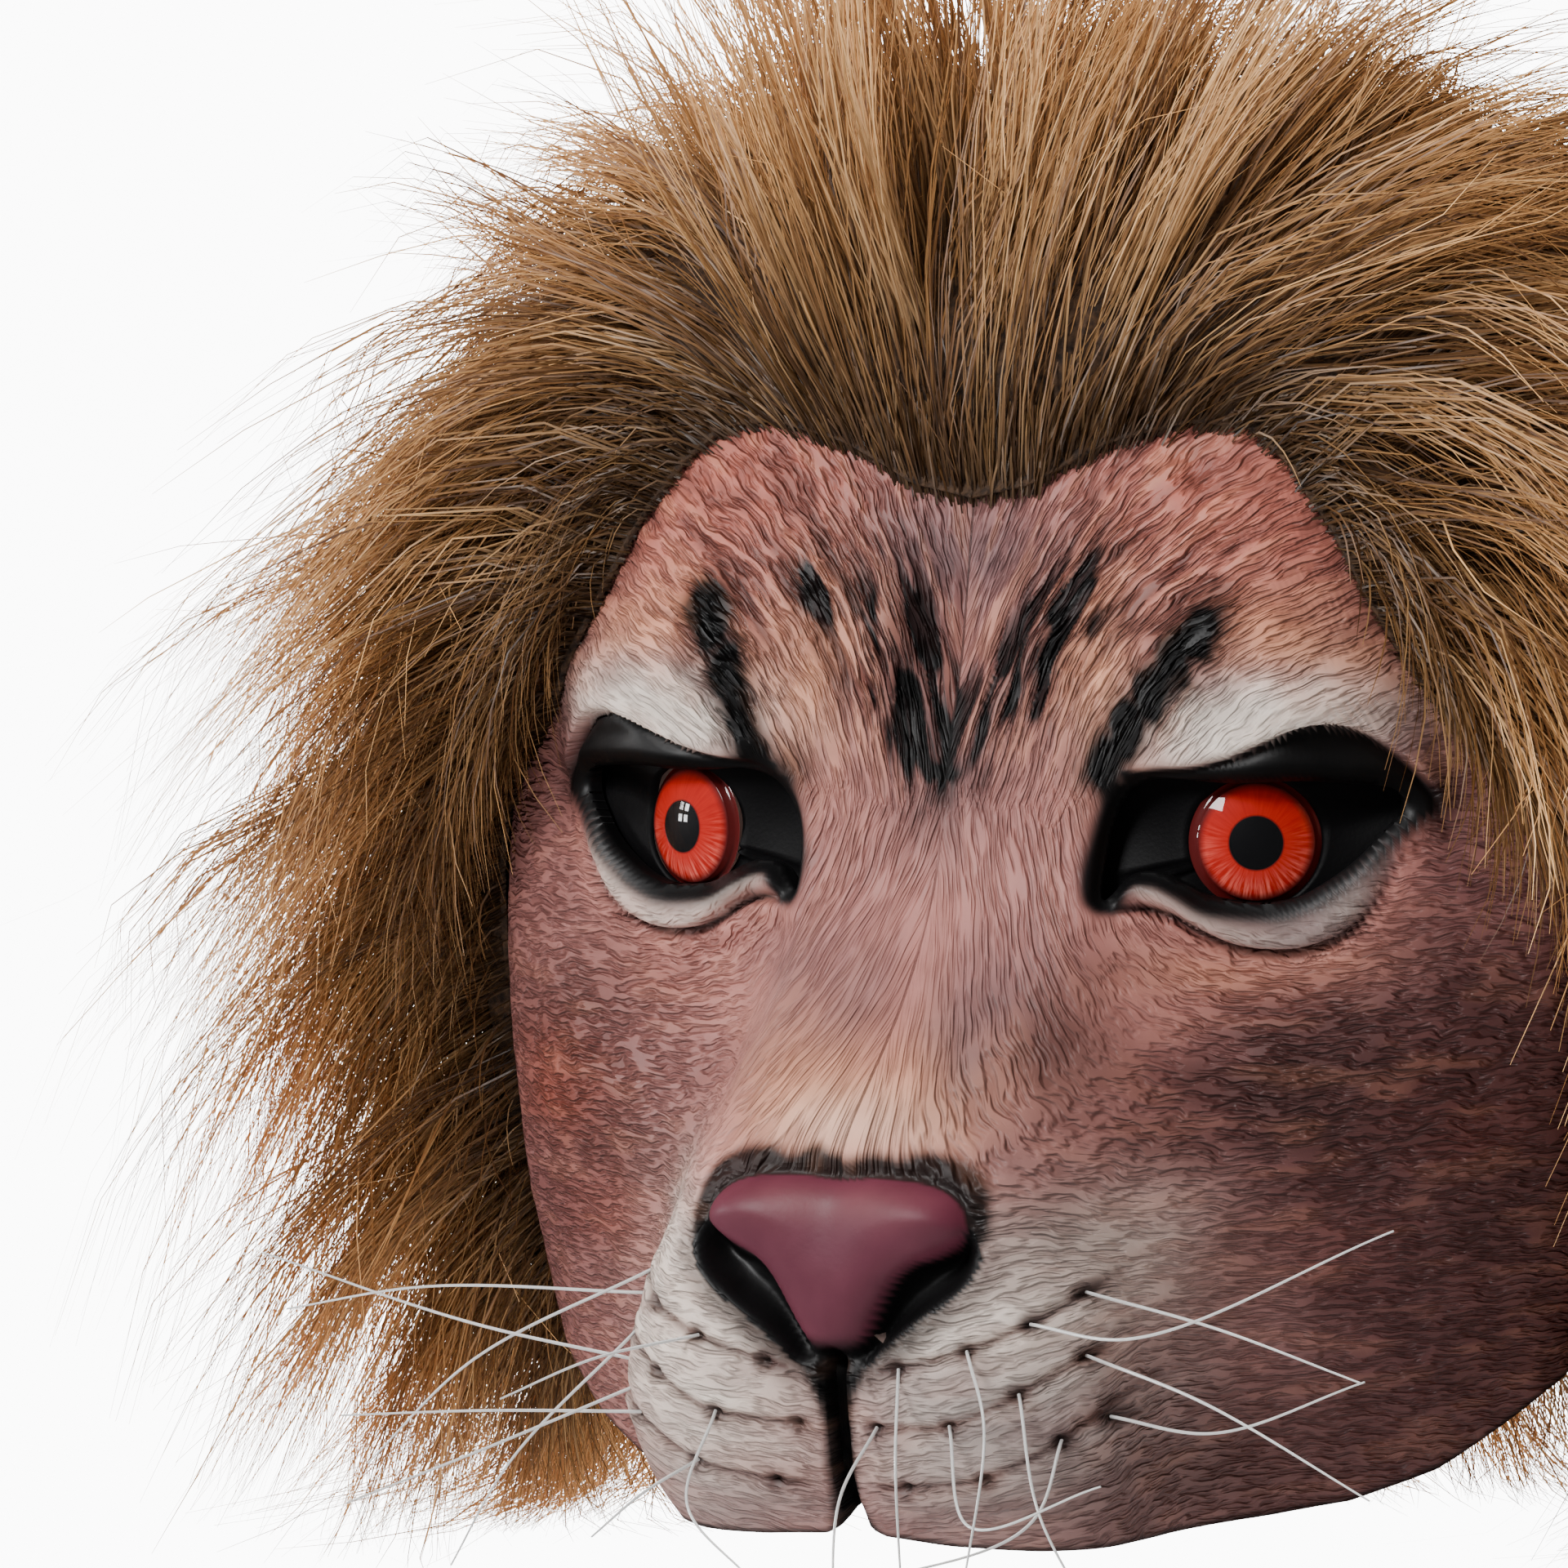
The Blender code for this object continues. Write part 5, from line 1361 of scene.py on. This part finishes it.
def build_mane(finish):
    """Long hair in clumped locks, as thin ribbons in four joined pieces."""
    lock_root, lock_normal, random = scatter(LOCKS, 31)
    height = up_from_eyes(lock_root)
    length = np.interp(height, *HAIR_LENGTHS.T) * MM * random.uniform(0.82, 1.1, len(lock_root))
    length *= 1 + 0.45 * step(lock_root[:, 1], -0.01, 0.03) * step(-height, 20, 60)
    big_root, _, random = scatter(BIG_LOCKS, 33)
    big_swing = random.normal(0, 0.30, big_root.shape)
    big_size = random.uniform(0.85, 1.1, len(big_root))
    home = nearest_of(lock_root, big_root)
    swing = big_swing[home] + random.normal(0, 0.17, lock_root.shape)
    guide = hair_path(lock_root, lock_normal, length * big_size[home], swing) - lock_root[:, None]
    share = np.linspace(0, 1, STRAND_STEPS + 1)[None, :, None]
    each = len(lock_root)
    bend = np.sin(share * random.uniform(2.5, 6, (each, 1, 1)) + random.uniform(0, 6, (each, 1, 1)))
    guide = guide + random.normal(0, LOCK_WAVE, (each, 1, 3)) * bend * share

    root, normal, random = scatter(STRANDS, 32)
    nearest = nearest_of(root, lock_root)
    count = len(root)
    pull = (lock_root[nearest] - root)[:, None]
    clump = random.uniform(0.35, 1.0, count)[:, None, None]
    scale = random.uniform(0.55, 1.08, count)[:, None, None]
    own = hair_path(root, normal, length[nearest] * scale[:, 0, 0], random.normal(0, 0.10, root.shape))
    led = root[:, None] + guide[nearest] * scale + pull * clump * share**1.3
    path = led * 0.8 + own * 0.2
    frizz = random.normal(0, 1, (count, 1, 3)) * share**1.6 * FRIZZ
    strays = random.uniform(0, 1, (count, 1, 1)) < STRAY_SHARE
    stray = strays * random.normal(0, STRAY_REACH, (count, 1, 3)) * share**1.5
    wave = np.sin(share * random.uniform(4, 8, (count, 1, 1)) + random.uniform(0, 6, (count, 1, 1)))
    path = path + frizz + stray + random.normal(0, HAIR_WAVE, (count, 1, 3)) * wave * share
    edge_root, edge_normal, random = hairline_roots(FRINGE, 34)
    edge_length = random.uniform(*FRINGE_LENGTHS, FRINGE)
    edge_swing = random.normal(0, 0.22, edge_root.shape) - edge_normal * 0.25
    root, normal = np.concatenate([root, edge_root]), np.concatenate([normal, edge_normal])
    path = np.concatenate([path, hair_path(edge_root, edge_normal, edge_length, edge_swing)])
    path = kept_in(path)
    nearest = np.concatenate([nearest, random.integers(0, len(lock_root), FRINGE)])
    count = len(root)

    tangent = np.gradient(path, axis=1)
    tangent /= np.linalg.norm(tangent, axis=2, keepdims=True)
    face = normal[:, None] + random.normal(0, 0.45, (count, 1, 3))
    wide = np.cross(tangent, face)
    wide /= np.maximum(np.linalg.norm(wide, axis=2, keepdims=True), 1e-9)
    thick = HAIR_WIDTH * random.uniform(0.55, 1.15, (count, 1, 1)) * (1 - 0.80 * share**2.2)
    left, right = path - wide * thick / 2, path + wide * thick / 2
    tone = random.uniform(0, 1, count) * 0.45 + random.uniform(0, 1, len(lock_root))[nearest] * 0.55
    pieces = []
    order = np.argsort(root[:, 1])
    for number, pick in enumerate(np.array_split(order, 4), 1):
        n = len(pick)
        points = np.stack([left[pick], right[pick]], 2).reshape(-1, 3)
        rung = np.arange(STRAND_STEPS)[None] * 2 + np.arange(n)[:, None] * (STRAND_STEPS + 1) * 2
        quads = np.stack([rung, rung + 1, rung + 3, rung + 2], -1).reshape(-1, 4)
        piece = mesh_piece(f"mane_hair_{number}", points, quads, finish)
        grow = np.broadcast_to(share[0], (n, STRAND_STEPS + 1, 1)).repeat(2, 2).reshape(-1)
        # The short fringe strands along the hairline keep the painted shade of the roots along their length
        set_values(piece, "grow", grow * np.where(pick < STRANDS, 1.0, 0.4).repeat(2 * STRAND_STEPS + 2))
        set_values(piece, "tone", np.repeat(tone[pick], (STRAND_STEPS + 1) * 2))
        set_values(piece, "across", np.tile([0.0, 1.0], n * (STRAND_STEPS + 1)))
        pieces.append(piece)
    return pieces


def build_backing(finish):
    """The fur cloth with its dense short pile, which thins towards its edge."""
    around, side = both_sides(np.linspace(0, 2, BACKING_WAYS))
    edge = level_at(hairline_z(around))
    share = np.r_[0.003, np.linspace(0.02, 1, BACKING_ROWS)][:, None]
    level = share * edge
    around, side = np.broadcast_to(around, level.shape), np.broadcast_to(side, level.shape)
    flip = mirrored_by(side)
    height = up_from_eyes(head_points(around, level, True))
    low = np.interp(around, *HAIRLINE.T) * FACE_HEIGHT / MM
    thick = BACKING[0] + (BACKING[1] - BACKING[0]) * step((height - low) / BACKING_RAMP, 0, 1)
    outer = (head_points(around, level) + head_normals(around, level) * thick[..., None]) * flip
    inner = (head_points(around, level) + head_normals(around, level) * BACKING_UNDER) * flip
    rows, columns = level.shape
    points = np.concatenate([outer.reshape(-1, 3), inner[-1]])
    last, under = (rows - 1) * columns, rows * columns
    rim = [(last + c, under + c, under + c + 1, last + c + 1) for c in range(columns - 1)]
    faces = np.concatenate([quads_of(rows, columns), np.array(rim)])
    return mesh_piece("mane_backing", points, faces, finish)


# The hair's colours from dark to pale strands, and their shading from root to tip, whose dark at the roots is
# painted shade
HAIR_TONES = (
    (0.08, (0.15, 0.068, 0.028, 1)),
    (0.50, (0.47, 0.248, 0.095, 1)),
    (0.92, (0.88, 0.57, 0.28, 1)),
)
HAIR_SHADES = (
    (0.0, (0.08, 0.065, 0.055, 1)),
    (0.5, (0.80, 0.70, 0.60, 1)),
    (1.0, (1.7, 1.58, 1.42, 1)),
)


def hair_material():
    """Golden synthetic hair: darker at the root by painted shade, paler at the tip, different from strand to
    strand.
    """
    made, tree, shader = material("golden_fur", roughness=0.42, specular_ior_level=0.42)
    grow, tone, across = (stored(tree, name) for name in ("grow", "tone", "across"))
    place = node(tree, "ShaderNodeCombineXYZ", {"X": across, "Y": grow, "Z": tone}).outputs[0]
    split = noise(tree, stretched(tree, place, (2.6, 1.2, 90)), 1.0, 1.0)
    varied = worked(tree, "ADD", tone, worked(tree, "MULTIPLY_ADD", split, 1.1, -0.55))
    base = ramped(tree, varied, *HAIR_TONES)
    shade = ramped(tree, grow, *HAIR_SHADES)
    tree.links.new(mixed(tree, base, shade, 1.0, "MULTIPLY"), shader.inputs["Base Color"])
    return made


def backing_material():
    """Short dark brown pile."""
    made, tree, shader = material("mane_pile", roughness=0.85)
    pile = noise(tree, own_place(tree), 700.0, 3.0)
    colors = ramped(tree, pile, (0.3, (0.018, 0.009, 0.005, 1)), (0.7, (0.09, 0.043, 0.018, 1)))
    tree.links.new(colors, shader.inputs["Base Color"])
    tree.links.new(bumped(tree, pile, 0.8, 0.001), shader.inputs["Normal"])
    return made


def area_light(name, place, target, size, watts):
    """A soft square light that looks at a target."""
    lamp = bpy.data.lights.new(name, "AREA")
    lamp.shape = "SQUARE"
    lamp.size = size
    lamp.energy = watts
    held = bpy.data.objects.new(name, lamp)
    held.location = place
    held.rotation_euler = (Vector(target) - Vector(place)).to_track_quat("-Z", "Y").to_euler()
    held.visible_glossy = name not in UNSEEN_IN_GLOSS
    bpy.context.scene.collection.objects.link(held)


# The camera as fitted to the photograph: angles in degrees, distance and shifts in metres
YAW, PITCH, ROLL = 26.25, 4.0, -0.48
DISTANCE, SLIDE, LIFT = 1.305, -0.0335, 0.0043
LENS = 7.0 * 1305 / 1920 * 36
FLOOR_Z = -0.42
# Soft lights: ahead, right and up in metres as the camera looks, then size and watts
LIGHTS = (
    ("key", -0.95, -1.0, 0.75, 0.5, 20),
    ("fill", -1.3, 0.4, 0.1, 1.0, 1.7),
    ("top", -0.15, 0.0, 1.2, 0.7, 15),
)
UNSEEN_IN_GLOSS = ("fill", "top")
# The window lights: how far off, half their spacing, their size in metres and their watts
WINDOW_AWAY, WINDOW_APART, WINDOW_SIZE, WINDOW_WATTS = 1.2, 0.085, 0.11, 1.4
WORLD_LIGHT, WORLD_SEEN = 0.06, 1.4


def studio():
    """Pale floor and backdrop, soft lights and the camera."""
    yaw, pitch, roll = math.radians(YAW), math.radians(PITCH), math.radians(ROLL)
    right = Vector((math.cos(yaw), math.sin(yaw), 0))
    ahead = Vector((-math.sin(yaw) * math.cos(pitch), math.cos(yaw) * math.cos(pitch), -math.sin(pitch)))
    up = right.cross(ahead)
    turned = right * math.cos(roll) + up * math.sin(roll)
    upright = turned.cross(ahead)
    place = Vector((0, -0.075, -EYE_DROP)) - ahead * DISTANCE + turned * SLIDE + upright * LIFT
    data = bpy.data.cameras.new("camera")
    data.sensor_width = 36
    data.sensor_fit = "HORIZONTAL"
    data.lens = LENS
    camera = bpy.data.objects.new("camera", data)
    pose = Matrix((turned, upright, -ahead)).transposed().to_4x4()
    pose.translation = place
    camera.matrix_world = pose
    bpy.context.scene.collection.objects.link(camera)
    bpy.context.scene.camera = camera

    level_ahead = Vector((-math.sin(yaw), math.cos(yaw), 0))
    plain, tree, shader = material("studio_white", (0.92, 0.92, 0.92), 0.9)
    faint = noise(tree, own_place(tree), 3.0)
    tree.links.new(mapped(tree, faint, 0, 1, 0.88, 0.92), shader.inputs["Roughness"])
    glow, glow_tree, glow_shader = material("studio_glow", (0.9, 0.9, 0.9), 0.9)
    glow_shader.inputs["Emission Color"].default_value = (1, 1, 1, 1)
    bright = mapped(glow_tree, noise(glow_tree, own_place(glow_tree), 2.0), 0, 1, 9.0, 9.2)
    glow_tree.links.new(bright, glow_shader.inputs["Emission Strength"])
    # The backdrop is clear from behind, so that the mask is seen from every side
    behind = node(glow_tree, "ShaderNodeNewGeometry")
    clear = node(glow_tree, "ShaderNodeBsdfTransparent")
    sides = {0: behind.outputs["Backfacing"], 1: glow_shader.outputs[0], 2: clear.outputs[0]}
    seen = node(glow_tree, "ShaderNodeMixShader", sides)
    glow_tree.links.new(seen.outputs[0], glow_tree.nodes["Material Output"].inputs["Surface"])
    floor_line = [(-3.0, FLOOR_Z), (0.75, FLOOR_Z)]
    wall_line = [(0.75, FLOOR_Z), (1.3, -0.34), (1.55, -0.08), (1.62, 0.2), (1.62, 0.9)]
    for name, line, reach, finish in (("floor", floor_line, 3.0, plain), ("backdrop", wall_line, 1.0, glow)):
        work = bmesh.new()
        rows = [[work.verts.new(right * side + level_ahead * away + Vector((0, 0, z))) for away, z in line]
                for side in (-reach, reach)]
        for k in range(len(line) - 1):
            work.faces.new((rows[0][k], rows[1][k], rows[1][k + 1], rows[0][k + 1]))
        mesh = bpy.data.meshes.new(name)
        work.to_mesh(mesh)
        work.free()
        mesh.shade_smooth()
        ground = bpy.data.objects.new(name, mesh)
        ground.data.materials.append(finish)
        ground.visible_glossy = False
        bpy.context.scene.collection.objects.link(ground)

    target = Vector((0, -0.06, -0.10))
    for name, away, aside, high, size, watts in LIGHTS:
        area_light(name, level_ahead * away + right * aside + Vector((0, 0, high)), target, size, watts)

    # Small square window lights, placed where the left eye in the picture mirrors them above its pupil
    centre, frame_of = eye_frame(-1)
    round_radius = EYE_RADIUS**2 / (2 * EYE_DOME)
    spot = np.array([0.0008, 0.0026])
    normal = Vector(frame_of.T @ np.array([spot[0] / round_radius, spot[1] / round_radius, 1.0])).normalized()
    point = Vector(centre + frame_of[0] * spot[0] + frame_of[1] * spot[1])
    view = (place - point).normalized()
    mirror = normal * (2 * normal.dot(view)) - view
    sideways = mirror.cross(Vector((0, 0, 1))).normalized()
    over = sideways.cross(mirror)
    for k, (a, b) in enumerate(((-1, 1), (1, 1), (-1, -1), (1, -1))):
        pane = point + mirror * WINDOW_AWAY + sideways * (WINDOW_APART * a) + over * (WINDOW_APART * b)
        area_light(f"window_{k}", pane, point, WINDOW_SIZE, WINDOW_WATTS)

    world = bpy.data.worlds.new("studio")
    world.use_nodes = True
    sky = world.node_tree
    sky.nodes["Background"].inputs["Color"].default_value = (1, 1, 1, 1)
    seen = node(sky, "ShaderNodeLightPath").outputs["Is Camera Ray"]
    strength = mapped(sky, seen, 0, 1, WORLD_LIGHT, WORLD_SEEN)
    sky.links.new(strength, sky.nodes["Background"].inputs["Strength"])
    bpy.context.scene.world = world


def put(piece, slot, *stand_ins):
    """Attaches a piece to the root body and hides the parts that it stands in for."""
    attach(piece, "root")
    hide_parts(*stand_ins)


studio()
latex = latex_material()
put(build_face(latex), "painted_latex", "latex_mask")
put(build_hood(inside_material()), "painted_latex", "latex_mask")
panels, reds, nylon = panel_material(), eye_material(), nylon_material()
for side, name in ((1, "left"), (-1, "right")):
    put(build_panel(side, panels), "black_panel", "eye_panel_" + name)
    put(build_eye(side, reds), "red_eye", "eye_" + name)
for number, row in enumerate(WHISKER_ROUTES, 1):
    put(build_whisker(number, row, nylon), "white_nylon", f"whisker_{number:02d}")
put(build_backing(backing_material()), "golden_fur", "mane")
for piece in build_mane(hair_material()):
    put(piece, "golden_fur", "mane")
